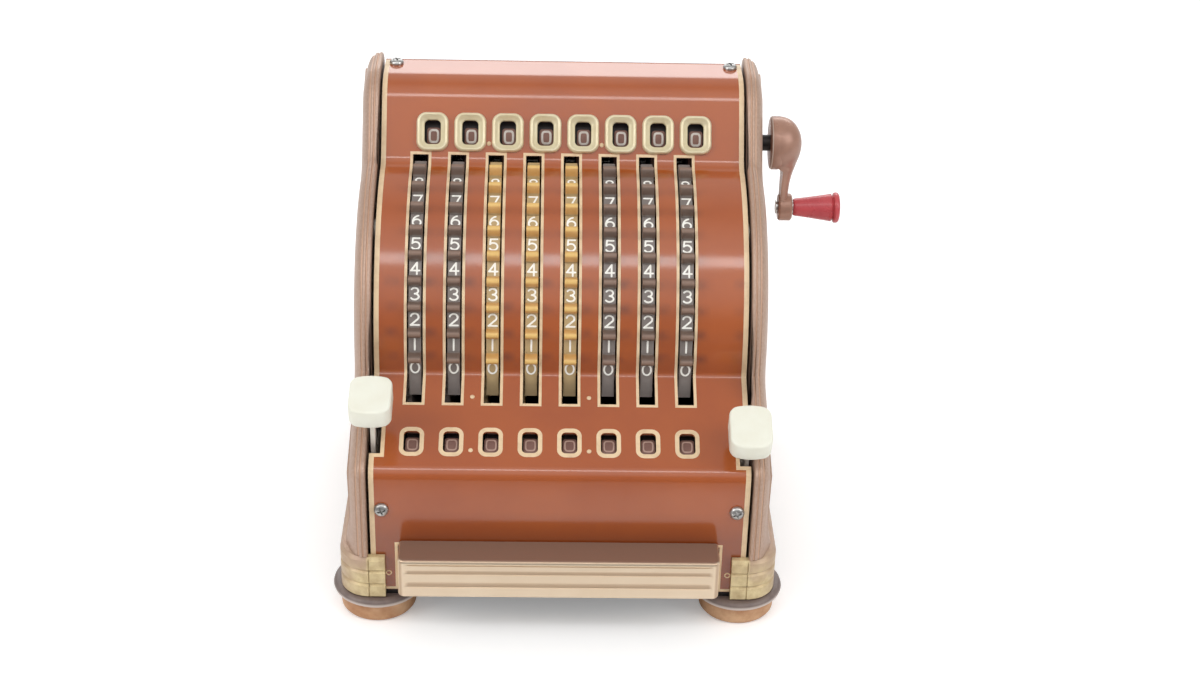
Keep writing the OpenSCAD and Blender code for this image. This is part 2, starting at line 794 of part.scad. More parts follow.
// A round-wire coil standing between the base plate and the bar's leg
coil_turns = 4;
coil_steps = 14;
coil_sides = 6;
coil_r = 4;
wire_r = 0.5;
coil_low = floor_z + wire_r;
coil_high = leg_z0 - wire_r;
coil_rings = coil_turns * coil_steps;
coil_points = [for (i = [0:coil_rings], j = [0:coil_sides - 1])
    let (a = 360 * i / coil_steps, b = 360 * j / coil_sides, r = coil_r + wire_r * cos(b))
    [r * cos(a), r * sin(a), coil_low + (coil_high - coil_low) * i / coil_rings + wire_r * sin(b)]];
coil_faces = concat(
    [[for (j = [0:coil_sides - 1]) j]],
    [[for (j = [coil_sides - 1:-1:0]) coil_rings * coil_sides + j]],
    [for (i = [0:coil_rings - 1], j = [0:coil_sides - 1])
        let (n = (j + 1) % coil_sides, a = i * coil_sides, b = a + coil_sides)
        each [[a + j, b + j, b + n], [a + j, b + n, a + n]]]);

module bar_springs() {
    color(steel)
        for (side = [-1, 1])
            translate([side * leg_x, post_y, 0])
                polyhedron(coil_points, coil_faces);
}

// A cross-recess pan-head screw pointing down, its head above z = 0
module pan_screw(length) {
    difference() {
        union() {
            rotate_extrude()
                polygon([[0, 0], [3.2, 0], [3.2, 0.7], [2.9, 1.4], [2.2, 1.9], [1.2, 2.15], [0, 2.2]]);
            translate([0, 0, -length])
                cylinder(r = 1.6, h = length + 0.1);
        }
        for (a = [0, 90])
            rotate([0, 0, a + 20])
                translate([-1.9, -0.4, 0.9])
                    cube([3.8, 0.8, 2]);
    }
}

module cover_screws() {
    color(steel)
        for (side = [-1, 1]) {
            translate([side * screw_x, 0, front_screw_z])
                rotate([90, 0, 0])
                    pan_screw(7);
            translate([side * screw_x, top_screw_y, top_height])
                pan_screw(6.6);
            translate([side * screw_x, rear_y, rear_screw_z])
                rotate([-90, 0, 0])
                    pan_screw(7);
        }
}

module at_feet() {
    for (side = [-1, 1], y = [foot_y1, foot_y2])
        translate([side * foot_x, y, 0])
            children();
}

// A cup with a rolled rim, a spigot up into the base plate and one down into the pad
module foot_cups() {
    r = foot_d / 2;
    color(brown)
        at_feet()
            rotate_extrude()
                polygon([[0, 4], [2.2, 4], [2.2, pad_height], [r - 3, pad_height], [r - 3, pad_height + 0.6],
                    [r - 1.4, pad_height + 0.8], [r - 0.4, pad_height + 1.6], [r, pad_height + 2.8],
                    [r - 0.4, pad_height + 4], [r - 1.4, foot_top - 0.2], [r - 3, foot_top],
                    [2, foot_top], [2, floor_z], [0, floor_z]]);
}

module foot_pads() {
    r = foot_d / 2 - 3;
    color(amber)
        at_feet()
            rotate_extrude()
                polygon([[0, 0], [r - 2.6, 0], [r - 1.2, 0.5], [r - 0.4, 1.6], [r, pad_height - 2],
                    [r, pad_height], [2.2, pad_height], [2.2, 4], [0, 4]]);
}

module placed() {
    translate([-mid_x, -mid_y, 0])
        children();
}

placed() base_plate();
placed() left_side_panel();
placed() right_side_panel();
placed() front_cover();
placed() rear_cover();
placed() left_frame_plate();
placed() right_frame_plate();
placed() tie_rods();
placed() setting_shaft();
placed() idler_shaft();
placed() check_shaft();
placed() crank_shaft();
placed() crank_arm();
placed() knob_stud();
placed() crank_knob();
placed() key_pivots();
placed() left_key_lever();
placed() left_key_cap();
placed() right_key_lever();
placed() right_key_cap();
placed() front_bar();
placed() bar_guides();
placed() bar_springs();
placed() window_bezels();
placed() cover_screws();
placed() foot_cups();
placed() foot_pads();
placed() plinth_mouldings();
placed() setting_wheel(1);  // setting_wheel_1
placed() setting_wheel(2);  // setting_wheel_2
placed() setting_wheel(3);  // setting_wheel_3
placed() setting_wheel(4);  // setting_wheel_4
placed() setting_wheel(5);  // setting_wheel_5
placed() setting_wheel(6);  // setting_wheel_6
placed() setting_wheel(7);  // setting_wheel_7
placed() setting_wheel(8);  // setting_wheel_8
placed() result_wheel(1);  // result_wheel_1
placed() result_wheel(2);  // result_wheel_2
placed() result_wheel(3);  // result_wheel_3
placed() result_wheel(4);  // result_wheel_4
placed() result_wheel(5);  // result_wheel_5
placed() result_wheel(6);  // result_wheel_6
placed() result_wheel(7);  // result_wheel_7
placed() result_wheel(8);  // result_wheel_8
placed() idler_gear(1);  // idler_gear_1
placed() idler_gear(2);  // idler_gear_2
placed() idler_gear(3);  // idler_gear_3
placed() idler_gear(4);  // idler_gear_4
placed() idler_gear(5);  // idler_gear_5
placed() idler_gear(6);  // idler_gear_6
placed() idler_gear(7);  // idler_gear_7
placed() idler_gear(8);  // idler_gear_8
placed() check_wheel(1);  // check_wheel_1
placed() check_wheel(2);  // check_wheel_2
placed() check_wheel(3);  // check_wheel_3
placed() check_wheel(4);  // check_wheel_4
placed() check_wheel(5);  // check_wheel_5
placed() check_wheel(6);  // check_wheel_6
placed() check_wheel(7);  // check_wheel_7
placed() check_wheel(8);  // check_wheel_8
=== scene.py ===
# %% [markdown]
# # Dressing an eight-column adding machine
#
# The machine is a bent sheet cover between two hammered cheeks. Eight finger wheels show through slots,
# number wheels show through two rows of windows, and there are keys, a press bar and a crank.
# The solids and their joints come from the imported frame. This lesson gives them their looks.
# Every cell says what a piece is, how it could be made, and why it is made this way.

# %% Load the frame
import json
import math
import bmesh
import bpy
import numpy as np
from mathutils import Matrix, Vector

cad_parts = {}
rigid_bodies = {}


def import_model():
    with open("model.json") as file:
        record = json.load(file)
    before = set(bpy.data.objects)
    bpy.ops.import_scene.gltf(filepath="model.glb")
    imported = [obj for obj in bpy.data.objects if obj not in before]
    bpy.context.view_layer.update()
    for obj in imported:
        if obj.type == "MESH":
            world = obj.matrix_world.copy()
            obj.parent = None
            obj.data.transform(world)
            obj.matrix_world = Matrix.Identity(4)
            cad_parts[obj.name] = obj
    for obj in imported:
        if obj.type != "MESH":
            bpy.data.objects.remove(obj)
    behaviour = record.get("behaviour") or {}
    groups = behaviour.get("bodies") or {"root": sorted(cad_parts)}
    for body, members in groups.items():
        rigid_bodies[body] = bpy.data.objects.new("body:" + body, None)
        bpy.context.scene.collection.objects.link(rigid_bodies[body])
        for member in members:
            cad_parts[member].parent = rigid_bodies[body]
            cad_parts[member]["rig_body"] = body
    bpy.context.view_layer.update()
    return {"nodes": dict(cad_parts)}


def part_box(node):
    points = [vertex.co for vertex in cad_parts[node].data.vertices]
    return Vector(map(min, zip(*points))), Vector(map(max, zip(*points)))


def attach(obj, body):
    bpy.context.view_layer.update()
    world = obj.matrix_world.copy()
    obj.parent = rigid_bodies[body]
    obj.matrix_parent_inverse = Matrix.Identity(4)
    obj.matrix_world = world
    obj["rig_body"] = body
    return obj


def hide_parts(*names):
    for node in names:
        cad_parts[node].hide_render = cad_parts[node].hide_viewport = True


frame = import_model()
nodes = frame["nodes"]

# %% [markdown]
# ## One ruler for everything
#
# Drawing in millimetres from the middle of the cover's front face is easier than in metres from the
# middle of the whole box. The cover's own box says where that face is, so nothing has to be typed twice.

# %% Millimetres from the cover's front face
cover_low, cover_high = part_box("front_cover")
home = np.array([(cover_low.x + cover_high.x) / 2, cover_low.y, 0.0])
mm = 0.001


def place(p):
    """Millimetres right, back and up from the front face's foot, as metres in the frame."""
    return np.asarray(p, float) * mm + home


def metres(axis, value):
    """One coordinate of a place, as a plain number for a mask."""
    return float(home[axis] + value * mm)


column_gap, columns_middle, window_shift = 17.0, -4.6, 5.1
columns = columns_middle + (np.arange(1, 9) - 4.5) * column_gap
print("columns at", columns)

# %% [markdown]
# ## Surfaces from arrays
#
# A piece is a grid of points, rows by columns, worked out as one array. Closing the grid along either
# side makes a tube or a ring, and a fan closes an open end. The sign of the volume shows whether the
# faces look outwards, so a grid can be written in any order and is turned over only where needed.

# %% Grid to closed part, parts to piece


def solid(grid, ring=False):
    """A closed part: quads join neighbours of grid[row, column]; ring joins the last row to the first,
    otherwise each end row is closed with a fan to its middle."""
    m, n = grid.shape[:2]
    row, column = np.arange(m if ring else m - 1)[:, None], np.arange(n)[None, :]
    above, beside = (row + 1) % m, (column + 1) % n
    quads = np.stack([row * n + column, above * n + column, above * n + beside, row * n + beside], -1)
    quads = quads.reshape(-1, 4)
    verts, tris = grid.reshape(-1, 3), np.zeros((0, 3), int)
    if not ring:
        a = np.arange(n)
        b, mid = (a + 1) % n, np.zeros(n, int)
        verts = np.vstack([verts, grid[0].mean(0), grid[-1].mean(0)])
        last = (m - 1) * n
        tris = np.vstack([np.c_[b, a, mid + m * n], np.c_[last + a, last + b, mid + m * n + 1]])
    corners = verts[np.vstack([quads[:, :3], quads[:, [0, 2, 3]], tris])] - verts.mean(0)
    volume = np.einsum("ij,ij->i", corners[:, 0], np.cross(corners[:, 1], corners[:, 2])).sum()
    if volume < 0:
        quads, tris = quads[:, ::-1], tris[:, ::-1]
    return verts, quads, tris


def piece(name, parts, material, body, stands_for=None, sharp=38):
    """Joins parts, in millimetres, into one named object that rides on a body."""
    first = np.cumsum([0] + [len(v) for v, _, _ in parts])
    faces = [f for s, (_, q, t) in zip(first, parts) for f in (q + s).tolist() + (t + s).tolist()]
    mesh = bpy.data.meshes.new(name)
    mesh.from_pydata(place(np.vstack([v for v, _, _ in parts])), [], faces)
    work = bmesh.new()
    work.from_mesh(mesh)
    bmesh.ops.remove_doubles(work, verts=work.verts, dist=1e-7)
    work.to_mesh(mesh)
    work.free()
    finish(bpy.data.objects.new(name, mesh), material, body, stands_for, sharp)


def finish(obj, material, body, stands_for, sharp):
    """Smooth shading with edges kept where faces meet at more than sharp degrees, then material and body."""
    bpy.context.scene.collection.objects.link(obj)
    obj.data.shade_smooth()
    obj.data.set_sharp_from_angle(angle=math.radians(sharp))
    obj.data.materials.clear()
    obj.data.materials.append(material)
    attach(obj, body)
    if stands_for:
        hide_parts(stands_for)


def smooth_step(t):
    """0 below 0, 1 above 1 and three squares less two cubes in between."""
    t = np.clip(t, 0, 1)
    return t * t * (3 - 2 * t)


# %% [markdown]
# ## Solids that keep their own shape
#
# Most solids are right as they are, but a solid straight from the drawing has knife edges that catch
# no light. A copy is merged, its flat faces are joined, and a Bevel modifier breaks the edges by a few
# tenths of a millimetre, as deburring and paint do. Weighted normals keep the large faces flat.

# %% Deburred copies


def deburr(name, material, edge=0.2, angle=40, sharp=30, cuts=(), change=None):
    """A copy of a solid with broken edges, standing for it on the same body. Cuts are heights that get a
    row of points, and change takes all points in millimetres at once and gives them back moved."""
    source = nodes[name]
    mesh = source.data.copy()
    mesh.name = name + "_dressed"
    if "custom_normal" in mesh.attributes:
        mesh.attributes.remove(mesh.attributes["custom_normal"])
    work = bmesh.new()
    work.from_mesh(mesh)
    bmesh.ops.remove_doubles(work, verts=work.verts, dist=2e-6)
    bmesh.ops.dissolve_limit(work, angle_limit=math.radians(0.5), verts=work.verts, edges=work.edges)
    for z in cuts:
        level = {"plane_co": place((0, 0, z)), "plane_no": (0, 0, 1), "dist": 1e-7}
        bmesh.ops.bisect_plane(work, geom=work.verts[:] + work.edges[:] + work.faces[:], **level)
    work.to_mesh(mesh)
    work.free()
    if "sharp_edge" in mesh.attributes:
        mesh.attributes.remove(mesh.attributes["sharp_edge"])
    if change:
        points = np.empty(3 * len(mesh.vertices))
        mesh.vertices.foreach_get("co", points)
        moved = change((points.reshape(-1, 3) - home) * 1000)
        mesh.vertices.foreach_set("co", place(moved).ravel())
    obj = bpy.data.objects.new(name + "_dressed", mesh)
    finish(obj, material, source["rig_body"], name, sharp)
    if edge:
        bevel = obj.modifiers.new("broken edges", "BEVEL")
        bevel.width, bevel.segments, bevel.limit_method = edge * mm, 2, "ANGLE"
        bevel.angle_limit = math.radians(angle)
    even = obj.modifiers.new("flat faces stay flat", "WEIGHTED_NORMAL")
    even.keep_sharp = not edge


# %% [markdown]
# ## Finishes
#
# Paint, plastic and metal on an old office machine share a few effects: a slow drift of tone, fine
# grain, and rubbed or dusty places. Each effect is one node group with its own dials, so every finish
# uses the same group at its own scale. The shader itself stays in the material.

# %% Building with nodes


def group(name, inputs, outputs):
    """A node group with named number sockets, and the sockets inside it."""
    tree = bpy.data.node_groups.new(name, "ShaderNodeTree")
    for label, value in inputs.items():
        tree.interface.new_socket(label, in_out="INPUT", socket_type="NodeSocketFloat").default_value = value
    for label in outputs:
        tree.interface.new_socket(label, in_out="OUTPUT", socket_type="NodeSocketFloat")
    return tree, tree.nodes.new("NodeGroupInput").outputs, tree.nodes.new("NodeGroupOutput").inputs


def feed(tree, slot, value):
    """Links a socket to an input, or sets the input to a plain value."""
    if isinstance(value, bpy.types.NodeSocket):
        tree.links.new(value, slot)
    else:
        slot.default_value = value


def node(tree, kind, **settings):
    """A shader node. A setting is one of its properties, or feeds the input of that name."""
    made = tree.nodes.new("ShaderNode" + kind)
    for label, value in settings.items():
        if hasattr(made, label):
            setattr(made, label, value)
        else:
            feed(tree, made.inputs[label.replace("_", " ")], value)
    return made


def calc(tree, operation, *values):
    """One Math node whose inputs are sockets or plain numbers."""
    made = node(tree, "Math", operation=operation)
    for slot, value in zip(made.inputs, values):
        feed(tree, slot, value)
    return made.outputs["Value"]


def overlap(tree, first, *others):
    """Masks multiplied together: 1 only where all of them are."""
    for other in others:
        first = calc(tree, "MULTIPLY", first, other)
    return first


def between(tree, value, low, high):
    """0 below low, 1 above high and straight in between."""
    return node(tree, "MapRange", Value=value, From_Min=low, From_Max=high).outputs["Result"]


def object_coords(tree):
    """Where a point lies on its piece, in metres."""
    return node(tree, "TexCoord").outputs["Object"]


def axes_of(tree):
    """Object coordinates as X, Y and Z sockets, in metres."""
    split = node(tree, "SeparateXYZ", Vector=object_coords(tree))
    return [split.outputs[axis] for axis in "XYZ"]


def off_middle(tree):
    """Distance to either side of the middle of the cover, in metres."""
    return calc(tree, "ABSOLUTE", calc(tree, "SUBTRACT", axes_of(tree)[0], metres(0, 0)))


# %% [markdown]
# Drift is slow noise cut to a span. Hammered dimples are cells whose borders are bent by finer noise. The
# third effect gives a point's distance and angle about an axle, for marks that follow a wheel.

# %% Shared effects as node groups
drift, into, out = group("tone drift", {"Scale": 40.0, "Low": 0.35, "High": 0.7}, ["Mask"])
noise = node(drift, "TexNoise", Vector=object_coords(drift), Scale=into["Scale"], Detail=5.0, Roughness=0.6)
drift.links.new(between(drift, noise.outputs["Fac"], into["Low"], into["High"]), out["Mask"])

hammer, into, out = group("hammered dimples", {"Scale": 420.0, "Wobble": 0.0003}, ["Height", "Rim"])
at = object_coords(hammer)
bend = node(hammer, "TexNoise", Vector=at, Scale=260.0, Detail=2.0)
push = node(hammer, "VectorMath", operation="MULTIPLY_ADD")
for slot, value in zip(push.inputs, (bend.outputs["Color"], into["Wobble"], at)):
    feed(hammer, slot, value)
cells = node(hammer, "TexVoronoi", feature="SMOOTH_F1", Vector=push.outputs["Vector"], Scale=into["Scale"],
             Smoothness=0.7)
hammer.links.new(cells.outputs["Distance"], out["Height"])
hammer.links.new(between(hammer, cells.outputs["Distance"], 0.25, 0.75), out["Rim"])

about_axle, into, out = group("height on the wheel", {"Axle Y": 0.0, "Axle Z": 0.0}, ["Radius", "Angle"])
_, y_socket, z_socket = axes_of(about_axle)
in_front = calc(about_axle, "SUBTRACT", into["Axle Y"], y_socket)
above = calc(about_axle, "SUBTRACT", z_socket, into["Axle Z"])
squares = [calc(about_axle, "MULTIPLY", v, v) for v in (in_front, above)]
about_axle.links.new(calc(about_axle, "SQRT", calc(about_axle, "ADD", *squares)), out["Radius"])
about_axle.links.new(calc(about_axle, "ARCTAN2", above, in_front), out["Angle"])
print("effects:", ", ".join(g.name for g in (drift, hammer, about_axle)))

# %% [markdown]
# A finish is two tones with the drift between them, a span of roughness on the same mask, and a bump. A
# coat lays one more tone over it where a mask says so. Colours are written as they look on the screen.

# %% A finish and a coat


def drifting(tree, scale, low, high):
    """The drift's mask at a scale, cut to a span."""
    return node(tree, "Group", node_tree=drift, Scale=scale, Low=low, High=high).outputs["Mask"]


def lin(r, g, b):
    """Screen colour, 0 to 255, as linear light."""
    c = np.array([r, g, b]) / 255
    return (*np.where(c <= 0.04045, c / 12.92, ((c + 0.055) / 1.055) ** 2.4), 1.0)


def dress(material, **inputs):
    """Feeds inputs of a material's shader."""
    base = material.node_tree.nodes["Principled BSDF"]
    for label, value in inputs.items():
        feed(material.node_tree, base.inputs[label.replace("_", " ")], value)


def plain(name, **inputs):
    """A new material with its shader's inputs."""
    made = bpy.data.materials.new(name)
    made.use_nodes = True
    dress(made, **inputs)
    return made


def paint(name, tone, second, rough=(0.3, 0.4), scale=40.0, span=(0.35, 0.7), grain=400.0, bump=0.02,
          depth=0.2, dimples=None, **inputs):
    """A finish whose colour and roughness drift between two tones, with a fine grain or dimples as bump."""
    made = plain(name, **inputs)
    tree = made.node_tree
    blend = mask = drifting(tree, scale, *span)
    if dimples:
        beaten = node(tree, "Group", node_tree=hammer, Scale=dimples).outputs
        height, blend = beaten["Height"], beaten["Rim"]
    else:
        height = node(tree, "TexNoise", Vector=object_coords(tree), Scale=grain, Detail=3.0).outputs["Fac"]
    mix = node(tree, "Mix", data_type="RGBA", Factor=blend)
    mix.inputs[6].default_value, mix.inputs[7].default_value = lin(*tone), lin(*second)
    gloss = node(tree, "MapRange", Value=mask, To_Min=rough[0], To_Max=rough[1])
    relief = node(tree, "Bump", Strength=bump, Distance=depth * mm, Height=height)
    dress(made, Base_Color=mix.outputs[2], Roughness=gloss.outputs["Result"],
          Normal=relief.outputs["Normal"])
    return made


def coat(material, mask, tone):
    """Lays a tone over a finish where the mask is 1."""
    tree = material.node_tree
    under = tree.nodes["Principled BSDF"].inputs["Base Color"].links[0].from_socket
    mix = node(tree, "Mix", data_type="RGBA", Factor=mask)
    mix.inputs[7].default_value = lin(*tone)
    tree.links.new(under, mix.inputs[6])
    dress(material, Base_Color=mix.outputs[2])


# %% [markdown]
# The cover is a glossy baked lacquer that has faded a little unevenly. Its lines, dots and eyelets are
# cream paint. The cheeks have hammered metallic enamel, whose dimples are paler on their floors.
# The bar is anodised metal, so it takes its tone from what it reflects.

# %% The machine's finishes
lacquer = paint("red_brown_lacquer", (170, 84, 32), (160, 76, 29), (0.11, 0.18), 22.0, grain=900.0,
                bump=0.05, depth=0.1, IOR=1.8)
cream = paint("cream_line_paint", (230, 203, 165), (210, 180, 144), (0.4, 0.55), 160.0, (0.45, 0.75))
enamel = paint("hammered_brown_enamel", (177, 147, 128), (185, 156, 138), (0.36, 0.48), 30.0, dimples=900.0,
               bump=0.2, depth=0.3, Metallic=0.2)
champagne = paint("champagne_metal", (243, 223, 197), (236, 214, 186), (0.36, 0.42), 60.0, (0.2, 0.9),
                  grain=700.0, Metallic=1.0)
bezel_gold = paint("ivory_gold", (230, 219, 186), (219, 205, 168), (0.3, 0.4), 120.0, Metallic=0.25)
ivory = paint("cream_plastic", (238, 238, 224), (232, 230, 213), (0.34, 0.44), 60.0, grain=900.0)
red = paint("red_plastic", (198, 80, 85), (184, 68, 75), (0.24, 0.32), 120.0, (0.4, 0.7), grain=1200.0)
copper = paint("copper_brown_enamel", (174, 132, 112), (158, 120, 104), (0.26, 0.38), 80.0, grain=900.0,
               bump=0.06, Metallic=0.2)
steel = paint("bright_steel", (205, 205, 203), (176, 174, 170), (0.2, 0.4), 200.0, (0.4, 0.8), Metallic=1.0)
screw_steel = paint("worn_screw_steel", (200, 199, 197), (150, 148, 146), (0.25, 0.45), 200.0, Metallic=0.9)
plated = paint("plated_steel", (244, 240, 228), (228, 222, 210), (0.3, 0.45), 90.0, Metallic=0.2)
black_steel = paint("blackened_steel", (42, 40, 42), (60, 56, 54), (0.35, 0.5), 150.0, Metallic=0.6)
brown_plastic = paint("brown_moulding", (98, 80, 70), (110, 91, 80), (0.36, 0.5), 110.0, (0.35, 0.65),
                      grain=900.0)
amber_plastic = paint("amber_moulding", (196, 148, 84), (208, 162, 100), (0.34, 0.46), 110.0, (0.35, 0.65),
                      grain=900.0)
drum_black = paint("number_wheel_black", (46, 38, 40), (38, 32, 36), (0.5, 0.65), 150.0)
pad_brown = paint("number_pad_brown", (150, 112, 100), (136, 98, 88), (0.5, 0.65), 200.0)
white_fill = paint("white_fill", (250, 248, 240), (238, 234, 222), (0.45, 0.6), 300.0, (0.5, 0.8))
grey_fill = paint("aged_white_fill", (238, 230, 224), (216, 206, 199), (0.5, 0.65), 300.0)
tan_fill = paint("tan_fill", (214, 180, 164), (198, 162, 146), (0.5, 0.65), 300.0)
cup_paint = paint("cup_enamel", (114, 99, 94), (138, 122, 115), (0.35, 0.55), 90.0, (0.45, 0.75), bump=0.08)
rubber = paint("amber_rubber", (172, 118, 76), (208, 166, 128), (0.45, 0.65), 60.0, (0.38, 0.62), bump=0.1)
gold = paint("gold_over_brown", (218, 199, 154), (188, 164, 122), (0.38, 0.52), 240.0, (0.4, 0.72),
             grain=600.0, bump=0.3, depth=0.3, Metallic=0.2)
print(len(bpy.data.materials), "materials")

# %% [markdown]
# The gold of the ribbed corners was brushed over the brown, so it thins out round the corner and, beside
# the lug, towards the top. The place on the moulding, broken up by the drift, decides how much is left.

# %% Gold that thins out to brown
fade_front, fade_back, lug_side, brown_foot, brown_full, ragged = -2.0, 16.0, 83.2, 27.0, 38.0, 6.0
tree = gold.node_tree
_, y_socket, z_socket = axes_of(tree)
patch = drifting(tree, 90.0, 0.3, 0.7)
faded = between(tree, y_socket, metres(1, fade_front), metres(1, fade_back))
worn_off = calc(tree, "MULTIPLY_ADD", patch, 0.5, calc(tree, "SUBTRACT", faded, 0.25))
coat(gold, between(tree, worn_off, 0.0, 0.8), (180, 151, 129))
aside = between(tree, off_middle(tree), lug_side * mm, (lug_side + 1) * mm)
ragged_z = calc(tree, "MULTIPLY_ADD", patch, ragged * mm, z_socket)
coat(gold, overlap(tree, between(tree, ragged_z, brown_foot * mm, brown_full * mm), aside), (180, 151, 130))
print("gold fades over", fade_back - fade_front, "mm")

# %% [markdown]
# ## The cover's side view
#
# Painted lines follow the bent sheet, so they need its surface. In side view the sheet is straight runs
# and bends. Along its length s every point has a place and an outward normal, and a point at (x, s)
# with a small lift is then anywhere on the cover.

# %% Place and normal along the sheet


def unit(degrees):
    """The direction at an angle, as the cosine and the sine."""
    a = np.radians(degrees)
    return np.stack([np.cos(a), np.sin(a)], -1)


bulge_r, wheel_c = 71.0, np.array([117.0, 99.0])
low_corner, up_corner, seam = np.array([0.0, 77.4]), np.array([116.6, 176.2]), np.array([156.8, 202])
low_slope, up_slope, sheet_foot = 26, 56, 16
front_bend, low_bend, up_bend, top_bend = 6, 3, 8, 16
low_n, up_n = unit(low_slope + 90), unit(up_slope + 90)


def hollow_bend(corner, slope, r, sign):
    """Centre r off the panel and r outside the round part: the meeting of a line and a circle."""
    start = corner + r * unit(slope + 90)
    w = start - wheel_c
    b = w @ unit(slope)
    return start + (-b + sign * np.sqrt(b * b - w @ w + (bulge_r + r) ** 2)) * unit(slope)


low_c = hollow_bend(low_corner, low_slope, low_bend, -1)
high_c = hollow_bend(up_corner, up_slope, up_bend, 1)
low_end, high_end = (np.degrees(np.arctan2(*(c - wheel_c)[::-1])) for c in (low_c, high_c))
front_c = np.array([front_bend, low_corner[1] - front_bend * (low_n[0] + 1) / low_n[1]])
top_z = seam[1] - top_bend
top_c = np.array([up_corner[0] - (top_bend + (top_z - up_corner[1]) * up_n[1]) / up_n[0], top_z])
bends = [(front_c, front_bend, 180, low_slope + 90), (low_c, -low_bend, low_slope + 90, low_end),
         (wheel_c, bulge_r, low_end, high_end), (high_c, -up_bend, high_end, up_slope + 90),
         (top_c, top_bend, up_slope + 90, 90)]
angles = [np.linspace(a, b, 60) for _, _, a, b in bends]
side = np.vstack([[0, sheet_foot], *(c + r * unit(a) for (c, r, _, _), a in zip(bends, angles)), seam])
normal = np.vstack([[-1, 0], *(unit(a) for a in angles), [0, 1]])
length = np.r_[0, np.cumsum(np.linalg.norm(np.diff(side, axis=0), axis=1))]
fine_s = np.arange(0, length[-1], 0.05)
fine_side = np.stack([np.interp(fine_s, length, side[:, i]) for i in (0, 1)], -1)


def on_cover(x, s, lift):
    """The point at x across, s along and lift above the sheet."""
    y, z, ny, nz = (np.interp(s, length, v) for v in (side[:, 0], side[:, 1], normal[:, 0], normal[:, 1]))
    return np.stack(np.broadcast_arrays(x, y + lift * ny, z + lift * nz), -1)


def along(point):
    """Length s of the sheet's nearest point."""
    return fine_s[np.argmin(np.linalg.norm(fine_side - point, axis=1))]


def low_at(t):
    """Length s at t up the lower panel from its corner."""
    return along(low_corner + t * unit(low_slope))


def up_at(t):
    """Length s at t up the upper panel from its foot."""
    return along(up_corner + t * unit(up_slope))


print("sheet is", round(length[-1], 1), "mm long in side view")

# %% [markdown]
# Shade is painted on the lacquer beside each column, level with the ridges, where the ridges' shadows fall.
# One wave across the columns and one round the bulge meet in soft spots. Under them lies painted shade
# above the bar, which fades upwards.

# %% Painted shade on the lacquer


def round_axle(tree):
    """Distance from the finger wheels' axle and angle about it, as sockets."""
    _, y, z = place((0, *wheel_c))
    return node(tree, "Group", node_tree=about_axle, Axle_Y=float(y), Axle_Z=float(z)).outputs


def wave(tree, value, crest, rate):
    """The cosine of the way from a crest, times a rate."""
    return calc(tree, "COSINE", calc(tree, "MULTIPLY", calc(tree, "SUBTRACT", value, crest), rate))


ridge_shade_shift, ridge_shade_angle, ridges_a_turn = 6.6, math.radians(-1.75), 40.0
shade_foot, shade_end, shade_front, shade_back = 43.0, 58.0, 2.0, 4.0
tree = lacquer.node_tree
on_wheel = round_axle(tree)
x_socket, y_socket, z_socket = axes_of(tree)
across_wave = wave(tree, x_socket, metres(0, columns[0] + ridge_shade_shift), 2 * math.pi / (column_gap * mm))
round_wave = wave(tree, on_wheel["Angle"], ridge_shade_angle, ridges_a_turn)
spots = overlap(tree, between(tree, across_wave, 0.1, 1.0), between(tree, round_wave, -0.3, 1.0),
                drifting(tree, 70.0, 0.3, 0.65))
on_bulge = overlap(tree, between(tree, on_wheel["Angle"], 0.0, 0.12),
                   between(tree, on_wheel["Angle"], 0.85, 0.6),
                   between(tree, on_wheel["Radius"], (bulge_r + 2) * mm, (bulge_r + 0.5) * mm))
# Painted shade: the ridges' shadows beside each column, on the bulge.
coat(lacquer, overlap(tree, spots, on_bulge, 0.6), (104, 56, 40))
# Painted shade above the bar, fading upwards.
on_front = between(tree, y_socket, metres(1, shade_back), metres(1, shade_front))
above_bar = between(tree, z_socket, shade_end * mm, shade_foot * mm)
coat(lacquer, overlap(tree, above_bar, on_front, 0.55), (112, 56, 34))
print("painted shade in", len(columns), "gaps")

# %% [markdown]
# ## Cover, lines and dots
#
# The cover itself is the deburred solid. Each line is a film of paint 0.05 mm thick: a four-cornered
# section carried along the sheet for straight lines, or round a closed outline for windows and slots.

# %% Cover sheets
for cover in ("front_cover", "rear_cover"):
    deburr(cover, lacquer, edge=0.15, angle=50)
print("two lacquered covers")


film_lift = np.array([[-0.03, 0.05, 0.05, -0.03]])


def film(x0, x1, s0, s1):
    """A straight line of paint from x0 to x1 across, between s0 and s1 along."""
    s = np.linspace(s0, s1, max(2, int(abs(s1 - s0) / 0.8)))[:, None]
    return solid(on_cover(np.array([[x0, x0, x1, x1]]), s, film_lift))


def film_ring(inner, outer):
    """A closed line between two outlines, each a loop of (x, s)."""
    loops = np.stack([inner, inner, outer, outer], 1)
    return solid(on_cover(loops[..., 0], loops[..., 1], film_lift), ring=True)


def box_loop(w, h, n=150):
    """A square-cornered outline, its long sides cut into n steps to follow the bends."""
    t = np.linspace(-h / 2, h / 2, n)
    return np.vstack([np.c_[0 * t + w / 2, t], np.c_[0 * t - w / 2, t[::-1]]])


def round_loop(w, h, r, n=12):
    """A rounded rectangle: four quarter circles moved out to the corners."""
    quarters = unit(np.arange(4)[:, None] * 90 + np.linspace(0, 90, n)[None, :])
    corners = np.array([(1, 1), (-1, 1), (-1, -1), (1, -1)])[:, None]
    return (corners * (np.array([w, h]) / 2 - r) + r * quarters).reshape(-1, 2)


